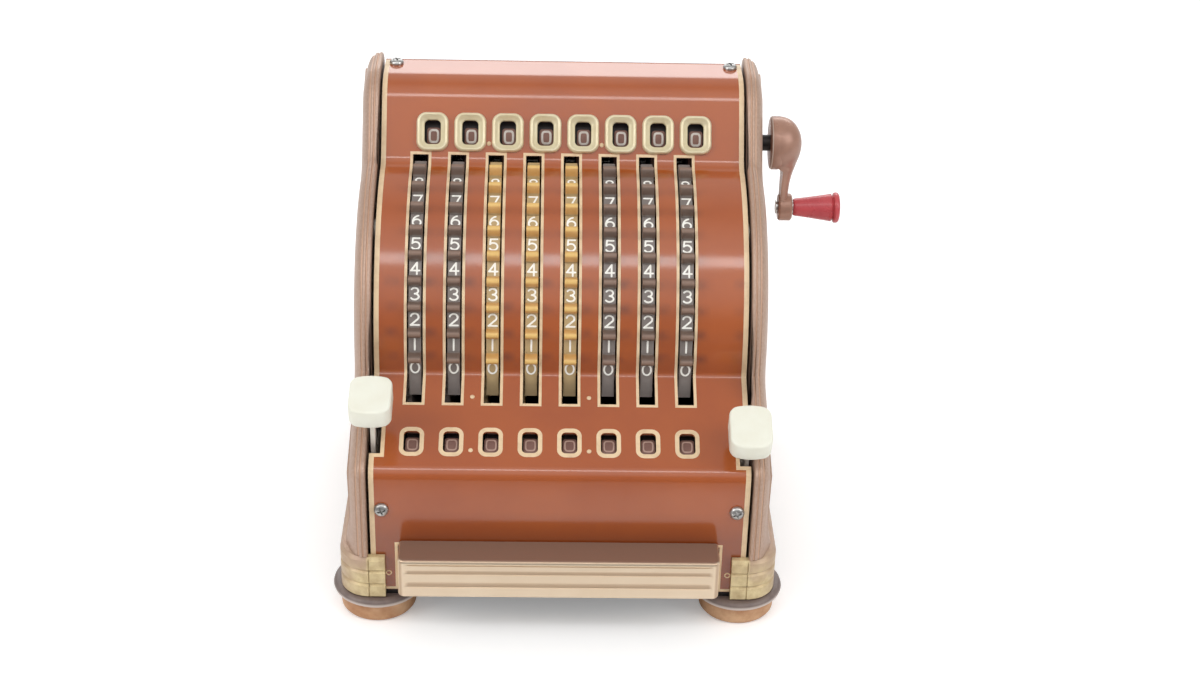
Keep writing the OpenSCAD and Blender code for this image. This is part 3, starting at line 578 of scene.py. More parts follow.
# %% Lines on the cover
edge_x, inner_x, notch_x, notch_in_x = 82.0, 79.8, 77.3, 75.6
bar_end_x, bar_in_x, bar_out_x, bar_s = 69.5, 70.2, 71.5, 24.0
notch_top, line_wide, line_foot = 30, 1.8, 0.2
lines = []
for side_sign, notch in ((-1, 9.5), (1, 4.8)):
    edge, inner, deep, past = (side_sign * v for v in (edge_x, inner_x, notch_x, notch_in_x))
    bar_end, bar_in, bar_out = (side_sign * v for v in (bar_end_x, bar_in_x, bar_out_x))
    under, foot = low_at(notch - line_wide), low_at(notch)
    head, over = low_at(notch_top), low_at(notch_top + line_wide)
    lines += [film(edge, inner, line_foot, under), film(edge, past, under, foot),
              film(deep, past, foot, head), film(edge, past, head, over),
              film(edge, inner, over, length[-1] - 0.3),
              film(bar_in, bar_out, line_foot, bar_s), film(bar_out, inner, line_foot, 1.5),
              film(bar_end, bar_out, bar_s, bar_s + 1.2)]
slot_low, slot_high, window_s = low_at(35.6), up_at(-3.2), low_at(15.7)
slot_long = slot_high - slot_low
for x in columns:
    middle = np.array([x, (slot_low + slot_high) / 2])
    lines.append(film_ring(middle + box_loop(7.0, slot_long), middle + box_loop(9.5, slot_long + 2.6)))
    window = np.array([x, window_s])
    lines.append(film_ring(window + round_loop(6.9, 10.6, 2.0), window + round_loop(10.6, 14.6, 3.8)))
piece("cover_lines", lines, cream, "body")
print(len(lines), "painted lines")

# %% [markdown]
# Decimal points sit between columns 2 and 3 and between 5 and 6, in three rows. Each is a drop of paint:
# rings of shrinking radius that rise to a low dome. The eyelets by the bar are small rings.

# %% Dots and eyelets
turn = np.linspace(0, 2 * np.pi, 24, endpoint=False)
dome_r, dome_h = np.array([(1.0, -0.03), (1.0, 0.12), (0.85, 0.3), (0.5, 0.42), (0.05, 0.46)]).T[..., None]
dots = []
for x_at, s_at in [((columns[a] + columns[a + 1]) / 2 + shift, s) for a in (1, 4)
                   for shift, s in ((window_shift, up_at(2.1)), (0, low_at(38.8)), (0, low_at(11.5)))]:
    dots.append(solid(on_cover(x_at + dome_r * np.cos(turn), s_at + dome_r * np.sin(turn), dome_h)))
eyelet_x, eyelet_z, eyelet_r, wire_r = 74.4, 25, 1.1, 0.3
tube = np.linspace(0, 2 * np.pi, 10, endpoint=False)[None, :]
ring_r = eyelet_r + wire_r * np.cos(tube)
for x_at in (-eyelet_x, eyelet_x):
    x, z = x_at + ring_r * np.cos(turn)[:, None], eyelet_z + ring_r * np.sin(turn)[:, None]
    dots.append(solid(np.stack([x, np.broadcast_to(-wire_r * np.sin(tube), x.shape), z], -1), ring=True))
piece("decimal_dots", dots, cream, "body")
print(len(dots), "dots and eyelets")

# %% [markdown]
# ## Window frames
#
# A raised frame is pressed metal: a rounded outer wall, a soft crest, and a dish that falls to the
# opening and ends in a short sleeve. One section, given as distance in from the outside and height,
# is carried round a rounded rectangle whose width, height and corner shrink together.

# %% Raised frames of the upper windows
section = np.array([(0, 0), (0, 0.8), (0.02, 1.3), (0.07, 1.8), (0.15, 2.2), (0.24, 2.38), (0.3, 2.4),
                    (0.38, 2.28), (0.5, 1.85), (0.66, 1.25), (0.84, 0.8), (0.95, 0.55), (1, 0.3),
                    (1, -1.5), (0.84, -1.5), (0.84, 0)])
outside, shrink, frame_at = np.array([14.4, 17.7, 4.4]), np.array([7.1, 6.5, 2.2]), 7.1
shape = np.stack([round_loop(*(outside - shrink * t), 14) for t in section[:, 0]])
flat = up_corner + (frame_at + shape[..., 1:]) * unit(up_slope) + section[:, 1, None, None] * up_n
frames = [solid(np.concatenate([x + shape[..., :1], flat], -1), ring=True) for x in columns + window_shift]
piece("window_frames", frames, bezel_gold, "body", "window_bezels", sharp=60)
print(len(frames), "window frames")

# %% [markdown]
# ## Finger wheels and their figures
#
# A finger wheel is a plastic moulding: flat faces with the figures, and between them round ridges for the
# finger to pull. The solid's disc and hub stay, its rim is pressed down to a seat, and a rim strip with the
# soft ridges is laid over it. A figure is engraved and filled with white. It is drawn as strokes, arcs and
# lines in a unit box, and each stroke is a low bead carried along its path.

# %% Figures as strokes


def arc(cx, cy, rx, ry, a0, a1):
    """Part of an ellipse, from one angle to another."""
    a = np.radians(np.linspace(a0, a1, 22))
    return np.c_[cx + rx * np.cos(a), cy + ry * np.sin(a)]


def line(x0, y0, x1, y1):
    """A straight stroke from one point to another."""
    t = np.linspace(0, 1, 8)[:, None]
    return np.array([x0, y0]) * (1 - t) + np.array([x1, y1]) * t


figures = [
    [arc(0, 0, 0.5, 0.5, 0, 360)],
    [line(0, -0.5, 0, 0.5)],
    [arc(0, 0.2, 0.46, 0.3, 165, -35), line(0.377, 0.028, -0.48, -0.5), line(-0.48, -0.5, 0.5, -0.5)],
    [arc(-0.02, 0.25, 0.42, 0.25, 150, -90), arc(-0.02, -0.25, 0.48, 0.25, 90, -150)],
    [line(0.2, -0.5, 0.2, 0.5), line(0.2, 0.5, -0.5, -0.2), line(-0.5, -0.2, 0.5, -0.2)],
    [line(0.42, 0.5, -0.36, 0.5), line(-0.36, 0.5, -0.42, 0.04), arc(-0.04, -0.17, 0.5, 0.33, 140, -145)],
    [arc(0.3, -0.12, 0.78, 0.62, 100, 180), arc(0, -0.18, 0.48, 0.32, 180, 540)],
    [line(-0.48, 0.5, 0.48, 0.5), line(0.48, 0.5, -0.12, -0.5)],
    [arc(0, 0.26, 0.4, 0.24, 0, 360), arc(0, -0.24, 0.48, 0.26, 0, 360)],
    [arc(0, 0.18, 0.48, 0.32, 0, 360), arc(-0.3, 0.12, 0.78, 0.62, -80, 0)]]


def bead(path, wide, high, surface):
    """A low bead: at each point of the path five points across it, then through surface(u, v, lift)."""
    closed = np.allclose(path[0], path[-1])
    if closed:
        path = path[:-1]
        ahead = np.roll(path, -1, 0) - np.roll(path, 1, 0)
        width = np.ones(len(path))
    else:
        first, last = path[1] - path[0], path[-1] - path[-2]
        first, last = first / np.linalg.norm(first), last / np.linalg.norm(last)
        reach = np.array([[1.0], [0.85], [0.45]]) * wide
        path = np.vstack([path[0] - reach * first, path, path[-1] + reach[::-1] * last])
        ahead = np.gradient(path, axis=0)
        width = np.r_[0.08, 0.55, 0.9, np.ones(len(path) - 6), 0.9, 0.55, 0.08]
    ahead = ahead / np.linalg.norm(ahead, axis=1, keepdims=True)
    across = np.array([-1, -0.8, 0, 0.8, 1])[None, :] * wide * width[:, None]
    u, v = path[:, :1] - across * ahead[:, 1:], path[:, 1:] + across * ahead[:, :1]
    lift = np.array([[-0.04, 0.75, 1, 0.75, -0.04]]) * high
    return solid(surface(u, v, np.broadcast_to(lift, u.shape)), ring=closed)


def figure(strokes, wide, tall, stroke, surface, high=0.12):
    """The strokes of one figure as beads, at its width and height."""
    return [bead(p * [wide, tall], stroke / 2, high, surface) for p in strokes]


# %% [markdown]
# Faces and ridges take turns round the rim. A face is flat, so it is furthest from the axle at its ends.
# A ridge is half a wave with a blunt top. Below the 0 the face runs on to the foot.

# %% Outline of the rim
step, face_r, ridge, rim_half, rim_foot = 9.0, 71.2, 5.4, 2.78, -8.0
digit_at = 2.9 + step * np.arange(10)
face_low, face_high = 2.75, 2.45
face_turn = (face_high - face_low) / 2
face_flat = face_r * math.cos(math.radians((face_low + face_high) / 2))
ridge_half = (step - face_low - face_high) / 2
sweep = np.radians(np.linspace(180, 0, 19))
ridge_angle = digit_at[:, None] - face_low - ridge_half + ridge_half * np.cos(sweep)
ridge_radius = np.tile(face_r + ridge * np.sin(sweep) ** 0.85, (10, 1))
ridge_angle[0] = np.linspace(rim_foot, digit_at[0] - face_low, len(sweep))
ridge_radius[0] = face_flat / np.cos(np.radians(ridge_angle[0] - digit_at[0] - face_turn))
face_angle = digit_at[:, None] + np.array([[-2.4, -0.9, 0.6, 2.1]])
face_radius = face_flat / np.cos(np.radians(face_angle - digit_at[:, None] - face_turn))
rim_end = digit_at[-1] + face_high
rim_angle = np.r_[np.hstack([ridge_angle, face_angle]).ravel(), rim_end, rim_end + 1.1]
rim_radius = np.r_[np.hstack([ridge_radius, face_radius]).ravel(), face_r, face_r + 0.5]
print(len(rim_angle), "points round the rim, ridges", ridge, "mm high")

# %% Rim strips and their figures


def toward(degrees):
    """Direction from the axle to the front, turned up by an angle."""
    return unit(degrees) * [-1, 1]


def rim_strip(x, seat=68.6, soft=0.35):
    """The outline carried across the rim's width: its two edges roll over with a quarter circle along
    the outline's normal, and the inside follows a circle at the seat."""
    outline = wheel_c + rim_radius[:, None] * toward(rim_angle)
    ahead = np.gradient(outline, axis=0)
    out_n = np.stack([-ahead[:, 1], ahead[:, 0]], -1) / np.linalg.norm(ahead, axis=1, keepdims=True)
    roll = np.radians([0, 30, 60, 90])
    across = np.r_[-(rim_half - soft) - soft * np.cos(roll), (rim_half - soft) + soft * np.cos(roll[::-1])]
    sink = soft * (np.r_[np.sin(roll), np.sin(roll[::-1])] - 1)
    skin = outline[:, None] + sink[None, :, None] * out_n[:, None]
    inside = np.broadcast_to((wheel_c + seat * toward(rim_angle))[:, None], (len(outline), 1, 2))
    flat = np.concatenate([inside, skin, inside], 1)
    width = np.broadcast_to(np.r_[-rim_half, across, rim_half][None, :, None] + x, flat.shape[:2] + (1,))
    return solid(np.concatenate([width, flat], -1))


def rim_surface(x, digit):
    """A point u right and v up on the flat face of a figure, on the wheel at x."""
    facing, upward = toward(digit + face_turn), toward(digit + face_turn + 90)

    def at(u, v, lift):
        flat = wheel_c + (face_flat + lift)[..., None] * facing + v[..., None] * upward
        return np.concatenate([(x + u)[..., None], flat], -1)

    return at


def pressed_rim(points, seat=69.0):
    """Draws everything beyond the seat radius in to almost nothing above it."""
    arm = points[:, 1:] - wheel_c
    r = np.linalg.norm(arm, axis=1)
    points[:, 1:] = wheel_c + arm * (np.where(r > seat, seat + 0.05 * (r - seat), r) / r)[:, None]
    return points


# %% [markdown]
# The rim's faces have gone grey round the figures where fingers never reach. The ridges' tops are paler,
# polished by fingers and with a painted highlight. Distance from the axle tells them apart, so two masks on
# it lay the tones over the moulding's own colour. A mask on the angle makes the foot below the 0 paler, as
# painted light against the shade inside the slot.

# %% Eight finger wheels
ridge_top, finger_figure = face_r + ridge, (3.7, 5.1, 0.84)
for rim_finish, face_tone, polish_and_highlight_tone, painted_foot_light in (
        (brown_plastic, (126, 117, 112), (132, 108, 94), (190, 180, 174)),
        (amber_plastic, (184, 158, 114), (222, 182, 110), (236, 208, 158))):
    tree = rim_finish.node_tree
    on_wheel = round_axle(tree)
    radius, angle = on_wheel["Radius"], on_wheel["Angle"]
    coat(rim_finish, between(tree, radius, (face_r + 1.9) * mm, (face_r + 1.1) * mm), face_tone)
    # Paler ridge tops: finger polish with a painted highlight.
    coat(rim_finish, between(tree, radius, (ridge_top - 0.7) * mm, (ridge_top - 0.2) * mm), polish_and_highlight_tone)
    # Painted light: the foot below the 0 is made paler against the slot's shade.
    coat(rim_finish, between(tree, angle, math.radians(0.5), math.radians(-5)), painted_foot_light)
for k, x in enumerate(columns, 1):
    moulding, slot = (amber_plastic, "amber_plastic") if k in (3, 4, 5) else (brown_plastic, "brown_plastic")
    deburr(f"setting_wheel_{k}", moulding, edge=0, change=pressed_rim)
    piece(f"finger_rim_{k}", [rim_strip(x)], moulding, f"setting_{k}", sharp=45)
    faces = [rim_surface(x, a) for a in digit_at]
    marks = [b for strokes, face in zip(figures, faces) for b in figure(strokes, *finger_figure, face)]
    piece(f"setting_figures_{k}", marks, white_fill, f"setting_{k}")
print("eight finger wheels with", len(marks), "strokes each")

# %% [markdown]
# ## Number wheels
#
# Behind the windows the same figures run round drums, each on a raised pad, so the drum stays black in
# between. A pad is a rounded rectangle wrapped on the drum. A result wheel turns backwards as its finger
# wheel is pulled down and a check wheel turns forwards, so their figures run opposite ways round.

# %% Pads and figures on the number wheels
result_c, check_c, drum_r, pad_rise = np.array([139.553, 170.529]), np.array([23.755, 64.509]), 17.6, 0.7


def drum_surface(x, centre, middle, rise=0.0):
    """A point u right and v up on a drum or a rise above it, where up is towards smaller angles."""

    def at(u, v, lift):
        a = np.radians(middle - np.degrees(v / drum_r))
        r = drum_r + (lift + rise)
        return np.stack([x + u, centre[0] + r * np.cos(a), centre[1] + r * np.sin(a)], -1)

    return at


def pad(surface):
    """Rounded rectangles that shrink as they rise, then close in on the middle of the pad's top."""
    inset = np.array([0, 0, 0.1, 0.35, 1.2, 2.2])
    lift = np.array([-0.4, pad_rise - 0.3, pad_rise - 0.08, pad_rise, pad_rise, pad_rise])[:, None]
    loops = np.stack([round_loop(6.3 - 2 * i, 7.6 - 2 * i, max(1.4 - i, 0.3), 5) for i in inset])
    return solid(surface(loops[..., 0], loops[..., 1], np.broadcast_to(lift, loops.shape[:2])))


around = unit(np.linspace(0, 360, 41))
square_zero = 0.5 * np.sign(around) * np.abs(around) ** 0.55
square_zero[-1] = square_zero[0]
window_figures = [[square_zero]] + figures[1:]
for k, x in enumerate(columns, 1):
    for kind, shift, centre, first, pitch, fill, size in (
            ("result", 5.5, result_c, 153, 36, grey_fill, (3.8, 5.2, 1.0)),
            ("check", 0.2, check_c, 113.5, -36, tan_fill, (4.2, 5.0, 0.72))):
        middles = [first + pitch * d for d in range(10)]
        deburr(f"{kind}_wheel_{k}", drum_black, edge=0.15)
        pads = [pad(drum_surface(x + shift, centre, a)) for a in middles]
        piece(f"{kind}_pads_{k}", pads, pad_brown, f"{kind}_{k}", sharp=50)
        tops = [drum_surface(x + shift, centre, a, pad_rise) for a in middles]
        marks = [b for strokes, top in zip(window_figures, tops) for b in figure(strokes, *size, top)]
        piece(f"{kind}_figures_{k}", marks, fill, f"{kind}_{k}")
print("sixteen number wheels")

# %% [markdown]
# ## Cheeks, ribbed feet and cups
#
# A cheek spreads a little at its foot to meet the ribbed moulding. The copy gets rows of points at a few
# heights, and its lower rows are pushed outwards with the square of the distance, most at the outer face.

# %% Cheeks with a spread foot
cheek_in = 1000 * (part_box("right_side_panel")[0].x - home[0])
spread_top, spread_run, spread_out, spread_in = 53.0, 18, 2.3, 7
cheek_front, cheek_back, end_run = -3, 190, 16


def spread(points):
    """Moves the rows below spread_top out by up to spread_out at the moulding, and not at the ends."""
    x, y, z = points.T
    ends = smooth_step((y - cheek_front) / end_run) * smooth_step((cheek_back - y) / end_run)
    share = smooth_step((abs(x) - cheek_in) / spread_in) * ends
    points[:, 0] += np.sign(x) * spread_out * share * np.maximum(0, (spread_top - z) / spread_run) ** 2
    return points


tree = enamel.node_tree
aside = off_middle(tree)
for line_x in (cheek_in + 2.0, cheek_in + 4.1):
    off_line = calc(tree, "ABSOLUTE", calc(tree, "SUBTRACT", aside, line_x * mm))
    coat(enamel, overlap(tree, between(tree, off_line, 0.4 * mm, 0.2 * mm), 0.7), (206, 166, 138))
for cheek in ("left_side_panel", "right_side_panel"):
    deburr(cheek, enamel, edge=0, sharp=32, cuts=(38, 41, 44, 47, 50, spread_top), change=spread)
deburr("plinth_mouldings", gold, edge=0.35, angle=25)
rim_foot_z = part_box("foot_pads")[1].z
tree = cup_paint.node_tree
on_rim = between(tree, axes_of(tree)[2], rim_foot_z + 3.4 * mm, rim_foot_z + 2.6 * mm)
coat(cup_paint, on_rim, (200, 186, 178))
deburr("foot_cups", cup_paint, edge=0, sharp=50)
deburr("foot_pads", rubber, edge=0, sharp=50)
deburr("cover_screws", screw_steel, edge=0.08, angle=50, sharp=35)
print("cheeks, mouldings, feet and screws dressed")

# %% [markdown]
# ## Keys
#
# A key cap is moulded: its front and back bulge a little, the corners are round, and a crisp edge with a
# small radius runs round the flat top. Rows of the grid are heights, each a rounded rectangle drawn in by
# its own amount. The right-hand key is held down, so its cap is turned about its pivot.

# %% Key caps on their levers
cap_wide, cap_deep, cap_corner, cap_bow, cap_edge = 18.0, 18.6, 3.2, 0.2, 0.9
key_x, cap_y, cap_z, cap_tilt, pivot_y, pivot_z, held_down = 80.6, 8, 111.7, 15, 78, 60, 7.8
edge_roll = np.radians(np.linspace(0, 90, 6))
cap_inset = np.r_[0.7, 0.2, 0, 0, cap_edge * (1 - np.cos(edge_roll)), 2.5, 5.0, 7.5]
cap_level = np.r_[-9.5, -9.3, -8.8, -4.0, -cap_edge + cap_edge * np.sin(edge_roll), -0.03, -0.08, -0.1]


def evenly(loop, count=120):
    """The loop again, as points evenly spaced along its length, so that its long sides can bow."""
    closed = np.vstack([loop, loop[:1]])
    run = np.r_[0, np.cumsum(np.linalg.norm(np.diff(closed, axis=0), axis=1))]
    stations = np.linspace(0, run[-1], count, endpoint=False)
    return np.stack([np.interp(stations, run, closed[:, axis]) for axis in (0, 1)], -1)


def cap_loop(inset):
    """The cap's outline, drawn in by an inset."""
    return evenly(round_loop(cap_wide - 2 * inset, cap_deep - 2 * inset, max(cap_corner - inset, 0.4), 9))


def lean(y, z, degrees):
    """Points in side view, turned about the origin."""
    a = np.radians(degrees)
    return y * np.cos(a) - z * np.sin(a), y * np.sin(a) + z * np.cos(a)


plan = np.stack([cap_loop(i) for i in cap_inset])
plan[..., 1] *= 1 + cap_bow * (1 - (plan[..., 0] / (cap_wide / 2)) ** 2)
for name, side_sign, turned in (("left_key", -1, 0), ("right_key", 1, held_down)):
    y, z = lean(plan[..., 1], np.broadcast_to(cap_level[:, None], plan.shape[:2]), cap_tilt)
    y, z = lean(y + cap_y - pivot_y, z + cap_z - pivot_z, turned)
    cap = np.stack([side_sign * key_x + plan[..., 0], y + pivot_y, z + pivot_z], -1)
    piece(name + "_cap_moulding", [solid(cap)], ivory, name, name + "_cap", sharp=60)
    deburr(name + "_lever", plated, edge=0.25)
print("two keys")

# %% [markdown]
# ## Press bar
#
# The bar is an anodised channel with three grooves along its front that stop short of the round corners.
# A wall section with the grooves in it is carried round the front, and a plate with rolled edges closes
# the top. Two legs reach back under the cover to the guide posts.

# %% Bar walls, top plate and legs
front_y, back_y, low_z, high_z, half = -16.0, -0.8, 23.8, 42.6, 69.5
bar_corner, wall_in, top_roll = 3, 2.4, 1.4
quarter = unit(np.linspace(180, 270, 10))
left = np.vstack([np.c_[[-half] * 3, np.linspace(back_y, front_y + bar_corner + 0.01, 3)],
                  np.array([-half, front_y]) + bar_corner + bar_corner * quarter])
left_n = np.vstack([[[-1.0, 0.0]] * 3, quarter])
run = np.linspace(-half + bar_corner + 0.2, half - bar_corner - 0.2, 90)
path = np.vstack([left, np.c_[run, 0 * run + front_y], left[::-1] * [-1, 1]])
out_n = np.vstack([left_n, np.c_[0 * run, 0 * run - 1], left_n[::-1] * [-1, 1]])
stop = smooth_step((half - 2.6 - np.abs(path[:, 0])) / 1.6) * (path[:, 1] < front_y + 0.6)
z_fine = np.linspace(low_z + 0.5, high_z - top_roll, 180)


def raised(flat, z):
    """Points in plan, with their heights."""
    return np.concatenate([flat, np.broadcast_to(z, flat.shape[:2])[..., None]], -1)


def groove(z, z0, z1, deep):
    """A hollow flute: depth follows the square root of a half sine between its two edges, squeezed
    downwards so that the flute is deepest a quarter of the way up."""
    return deep * np.sqrt(np.sin(np.pi * np.sqrt(np.clip((z - z0) / (z1 - z0), 0, 1))))


grooves = sum(groove(z_fine, high_z - low, high_z - high, deep)
              for low, high, deep in ((2.5, 1.9, 0.3), (7.0, 4.8, 0.45), (13.7, 11.0, 0.45)))
offset = np.r_[-wall_in, -0.5, -0.15, -grooves, -wall_in]
level = np.r_[low_z, low_z, low_z + 0.15, z_fine, high_z - top_roll]
reach = np.tile(offset, (len(path), 1))
reach[:, 3:-1] *= stop[:, None]
wall = raised(path[:, None] + reach[..., None] * out_n[:, None], level)
rolled = np.radians(np.linspace(0, 90, 6))
plate_in = np.r_[0.35, top_roll * (1 - np.cos(rolled))]
plate_z = np.r_[high_z - 2.6, high_z - top_roll + top_roll * np.sin(rolled)]
plate = raised(path[None] - plate_in[:, None, None] * out_n[None], plate_z[:, None])
bar_parts = [solid(wall), solid(plate)]
leg_x, leg_z, eye_y, bore_r, eye_half, eye_levels = 55, 31, 10, 2.55, 5, np.array([27, 35, 35, 27.0])
circle = unit(np.arange(0, 360, 7.5))
square = circle / np.abs(circle).max(1, keepdims=True)
block = round_loop(10, 8, 0.8, 4)
for x in (-leg_x, leg_x):
    eye = np.stack([bore_r * circle, bore_r * circle, eye_half * square, eye_half * square], 1) + [x, eye_y]
    bar_parts.append(solid(raised(eye, eye_levels), ring=True))
    leg = [np.c_[x + block[:, 0], 0 * block[:, 0] + y, leg_z + block[:, 1]] for y in (-14, 5.2)]
    bar_parts.append(solid(np.stack(leg)))
piece("press_bar", bar_parts, champagne, "bar", "front_bar", sharp=35)
print("bar", round(2 * half), "mm wide")

# %% [markdown]
# Shade is painted into the grooves, and the top has lost its sheen, with a painted reflection for its
# tone. Both are masks on the place: how far a point lies behind the front face, and how close it is to the
# top.

# %% Painted shade in the grooves, dull top with a painted reflection
tree = champagne.node_tree
_, y_socket, z_socket = axes_of(tree)
painted_groove_shade = between(tree, y_socket, metres(1, front_y + 0.08), metres(1, front_y + 0.4))
only_front = between(tree, y_socket, metres(1, front_y + 1.2), metres(1, front_y + 1.0))
# Painted shade in the floors of the grooves.
coat(champagne, overlap(tree, painted_groove_shade, only_front, 0.75), (186, 158, 132))
# The top's sheen is gone, and its grey-brown is a painted reflection of the cover.
dull_top_and_reflection = between(tree, z_socket, (high_z - 0.5) * mm, (high_z - 0.1) * mm)
coat(champagne, dull_top_and_reflection, (146, 116, 99))
bare_metal = node(tree, "MapRange", Value=dull_top_and_reflection, To_Min=1.0, To_Max=0.35)
dress(champagne, Metallic=bare_metal.outputs["Result"])
print("bar shaded in its grooves and on top")

# %% [markdown]
# ## Crank
#
# The crank is a casting: a round hub, a dome that runs down into a tapering arm, and a boss for the knob.
# Each level of the arm is a flat-backed hump. Its width and height change along the arm as a circle
# above the hub's middle and as a falling bell curve below it, so dome and arm are one skin.

# %% Crank arm and knob
hub_x, throw = 1000 * (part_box("crank_arm")[0].x - home[0]), 33.0
hub_r, hub_bore, hub_thick, dome_high, arm_half, arm_high = 12.4, 3.75, 5.8, 11.2, 4.4, 10


def lathe_x(profile, centre, x0):
    """A closed profile of (radius, distance) turned about a line along x."""
    a = np.linspace(0, 2 * np.pi, 72, endpoint=False)[None, :]
    r, d = (np.asarray(profile, float)[:, i, None] for i in (0, 1))
    grid = np.stack([x0 + d + 0 * a, centre[0] + r * np.cos(a), centre[1] + r * np.sin(a)], -1)
    return solid(grid, ring=True)


drop = np.r_[hub_r * np.sin(np.radians(np.linspace(89.5, 0, 24))), -np.linspace(0.6, throw, 44)]
below = np.minimum(drop, 0)
circle_part = np.maximum(1 - (drop / hub_r) ** 2, 0)
breadth = np.where(drop > 0, hub_r * np.sqrt(circle_part), arm_half + 8 * np.exp(-(below / 11) ** 2))
crest = np.where(drop > 0, 3.5 + dome_high * circle_part ** 0.45,
                 arm_high + 4.7 * np.exp(-(below / 13.5) ** 2))
back = 3.4 + 2.9 * smooth_step((-drop - 8.6) / 3.6)
v = np.cos(np.radians(np.linspace(0, 180, 33)))[None, :]
hump = back[:, None] + (crest - back)[:, None] * (1 - np.abs(v) ** 2.3) ** 0.55
arm = np.stack([hub_x + hump, result_c[0] + breadth[:, None] * v, result_c[1] + drop[:, None] + 0 * v], -1)
hub = [(hub_bore, 0), (11.5, 0), (12.1, 0.3), (hub_r, 0.9), (hub_r, 3.6), (12.0, 4.8), (11.2, hub_thick),
       (hub_bore, hub_thick)]
boss = [(2, 0), (5.7, 0), (6.4, 0.7), (6.4, 5.7), (5.7, 6.4), (2, 6.4)]
tip = result_c - [0, throw]
casting = [solid(arm), lathe_x(hub, result_c, hub_x), lathe_x(boss, tip, hub_x + hub_thick)]
tree = copper.node_tree
across_hub = axes_of(tree)[0]
# The hub's back edge is worn bare, and its pale line is a painted highlight.
worn_edge_highlight = overlap(tree, between(tree, across_hub, metres(0, hub_x + 0.7), metres(0, hub_x + 0.5)),
                    between(tree, across_hub, metres(0, hub_x + 0.1), metres(0, hub_x + 0.2)))
coat(copper, worn_edge_highlight, (226, 214, 204))
piece("crank_casting", casting, copper, "crank", "crank_arm", sharp=42)
knob_x = 1000 * (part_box("crank_knob")[0].x - home[0])
taper = np.linspace(0, 1, 12)
knob_foot = [(2.05, -0.8), (3.2, -0.8), (3.7, -0.6), (4.05, -0.1), (4.2, 0.7)]
knob_cone = np.c_[4.3 + 2.15 * taper ** 1.1, 1.6 + 15.2 * taper]
knob_neck = [(6.6, 17.1), (6.4, 17.35), (5.8, 17.55), (5.7, 17.85), (5.9, 18.1)]
knob_end = [(6.8, 18.3), (7.1, 18.6), (7.2, 19.1), (7.2, 19.8), (7.0, 20.4), (6.4, 20.9), (5.4, 21.15),
            (3.5, 21.2), (0.02, 21.2)]
knob_bore = [(0.02, 17.6), (2.05, 17.6)]
knob = lathe_x(np.vstack([knob_foot, knob_cone, knob_neck, knob_end, knob_bore]), tip, knob_x)
piece("knob_turning", [knob], red, "knob", "crank_knob")
deburr("crank_shaft", black_steel, edge=0.2)
deburr("knob_stud", steel, edge=0.15)
print("crank throw", throw, "mm")

# %% [markdown]
# ## Inside
#
# The mechanism shows only through gaps, so the solids stay as they are and take steel finishes.

# %% Inner pieces
plain_steel = ["tie_rods", "setting_shaft", "idler_shaft", "check_shaft", "key_pivots", "bar_guides",
               "bar_springs"] + [f"idler_gear_{k}" for k in range(1, 9)]
for inner_finish, names in ((black_steel, ["base_plate"]), (steel, plain_steel),
                            (plated, ["left_frame_plate", "right_frame_plate"])):
    for name in names:
        nodes[name].material_slots[0].material = inner_finish
print("inner pieces have steel finishes")

# %% [markdown]
# ## Table, light and camera
#
# The table is plain white. Soft boxes stand left and right, where the cover's sheet can't mirror them
# to the camera, and a bright one behind gives the top its sheen. A dark card in front of the machine,
# seen only in reflections, stands for the table's edge, which puts a darker band in the lacquer.

# %% Table and card


def level_sheet(name, low, high, z, material):
    """A level rectangle between two opposite corners."""
    mesh = bpy.data.meshes.new(name)
    corners = [(low[0], low[1], z), (high[0], low[1], z), (high[0], high[1], z), (low[0], high[1], z)]
    mesh.from_pydata(corners, [], [(0, 1, 2, 3)])
    mesh.materials.append(material)
    obj = bpy.data.objects.new(name, mesh)
    bpy.context.scene.collection.objects.link(obj)
    return obj


white_top = plain("table_white", Base_Color=(0.93, 0.93, 0.93, 1), Roughness=0.7, Specular_IOR_Level=0.2,
                  Emission_Color=(1, 1, 1, 1))
tree = white_top.node_tree
dress(white_top, Emission_Strength=overlap(tree, node(tree, "LightPath").outputs["Is Camera Ray"], 0.22))
dark = plain("card_grey", Base_Color=(0.16, 0.15, 0.15, 1))
table_top = level_sheet("table", (-3, -3), (3, 3), 0, white_top)
card_gap = 108
card = level_sheet("dark_card", (-2, -2.5), (2, metres(1, -card_gap)), 1 * mm, dark)
card.visible_camera = card.visible_diffuse = card.visible_shadow = card.visible_transmission = False
print("card ends", card_gap, "mm in front of the cover")

# %% [markdown]
# The room glows a little everywhere, and more from two heights, one in front and one behind. Smooth steps
# keep these reflections without edges.

# %% Lamps and world
scene = bpy.context.scene
scene.view_settings.view_transform = "Standard"
world = bpy.data.worlds.new("room")
world.use_nodes = True
scene.world = world
sky = world.node_tree
sky.nodes["Background"].inputs["Color"].default_value = (1, 1, 1, 1)


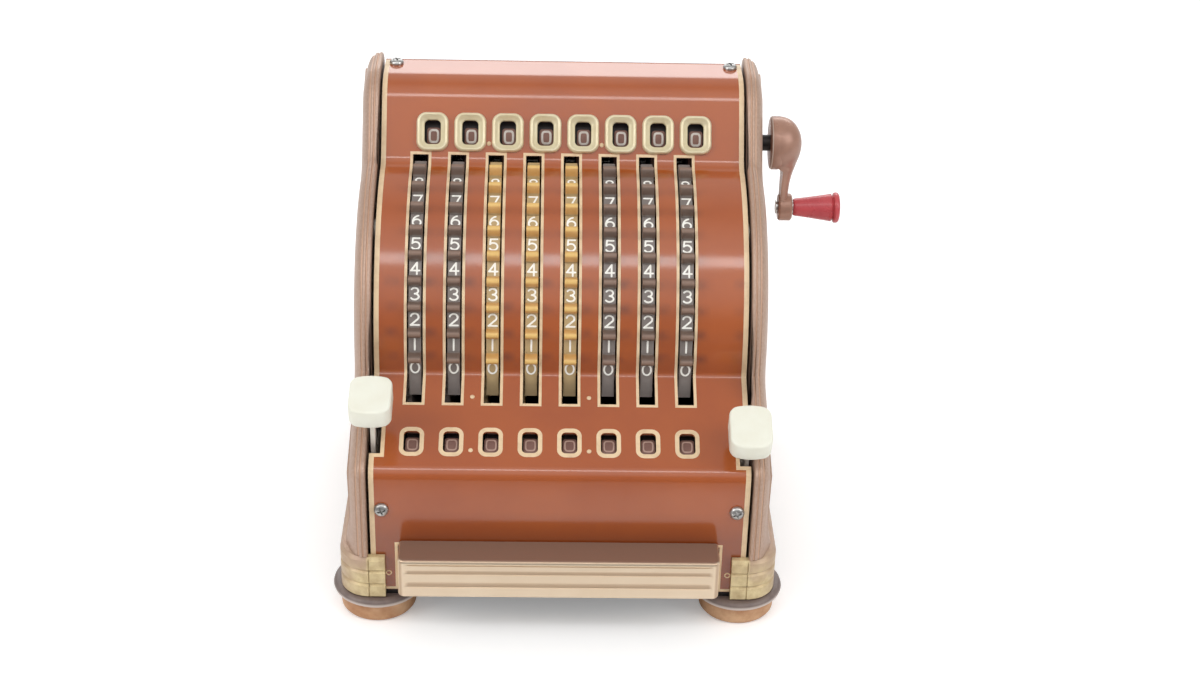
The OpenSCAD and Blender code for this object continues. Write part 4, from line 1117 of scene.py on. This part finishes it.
def glow(elevation, start, strength):
    """Room light that grows smoothly towards one height, in front or, past 90 degrees, behind."""
    a = math.radians(elevation)
    facing = node(sky, "VectorMath", operation="DOT_PRODUCT")
    feed(sky, facing.inputs[0], node(sky, "TexCoord").outputs["Generated"])
    feed(sky, facing.inputs[1], (0, -math.cos(a), math.sin(a)))
    return node(sky, "MapRange", interpolation_type="SMOOTHSTEP", Value=facing.outputs["Value"],
                From_Min=start, To_Max=strength).outputs["Result"]


even_light = 0.33
room = calc(sky, "ADD", calc(sky, "ADD", glow(55, 0.7, 0.7), glow(150, 0.3, 0.5)), even_light)
sky.links.new(room, sky.nodes["Background"].inputs["Strength"])


def soft_box(name, at, towards, size, power):
    """A rectangular lamp that looks at a point and isn't seen itself."""
    lamp = bpy.data.lights.new(name, "AREA")
    lamp.shape, lamp.size, lamp.size_y, lamp.energy = "RECTANGLE", size[0], size[1], power
    obj = bpy.data.objects.new(name, lamp)
    ahead = np.asarray(towards, float) - at
    obj.matrix_world = Matrix.Translation(at) @ Vector(ahead).to_track_quat("-Z", "Y").to_matrix().to_4x4()
    scene.collection.objects.link(obj)
    obj.visible_camera = False


soft_box("left_box", (-1.35, -0.75, 1.05), (0, 0, 0.1), (1.0, 1.0), 9.9)
soft_box("right_box", (1.35, -0.75, 1.05), (0, 0, 0.1), (1.0, 1.0), 9.2)
soft_box("strip_box", (0, -0.82, 1.38), (0, 0, 0.1), (2.0, 0.2), 4.0)
soft_box("back_box", (0, 1.35, 0.82), (0, 0.05, 0.15), (1.8, 0.5), 6.9)
print("four soft boxes")

# %% [markdown]
# The camera is turned in three steps, round the upright line, down, and about its own line of sight, and
# then moved back from the point it looks at.

# %% Camera
f_mm, yaw, pitch, roll = 62.754, math.radians(-1.78), math.radians(29.68), math.radians(1.56)
looked_at, distance = (17.3, 60, 110.7), 0.930
turns = [Matrix.Rotation(a, 4, axis) for a, axis in ((yaw, "Z"), (math.pi / 2 - pitch, "X"), (roll, "Z"))]
stand = Matrix.Translation(place(looked_at)) @ turns[0] @ turns[1] @ turns[2]
lens = bpy.data.cameras.new("camera")
lens.lens, lens.sensor_width, lens.sensor_fit = f_mm, 36.0, "HORIZONTAL"
camera = bpy.data.objects.new("camera", lens)
camera.matrix_world = stand @ Matrix.Translation((0, 0, distance))
scene.collection.objects.link(camera)
scene.camera = camera
print("camera looks at", looked_at, "from", distance, "m")
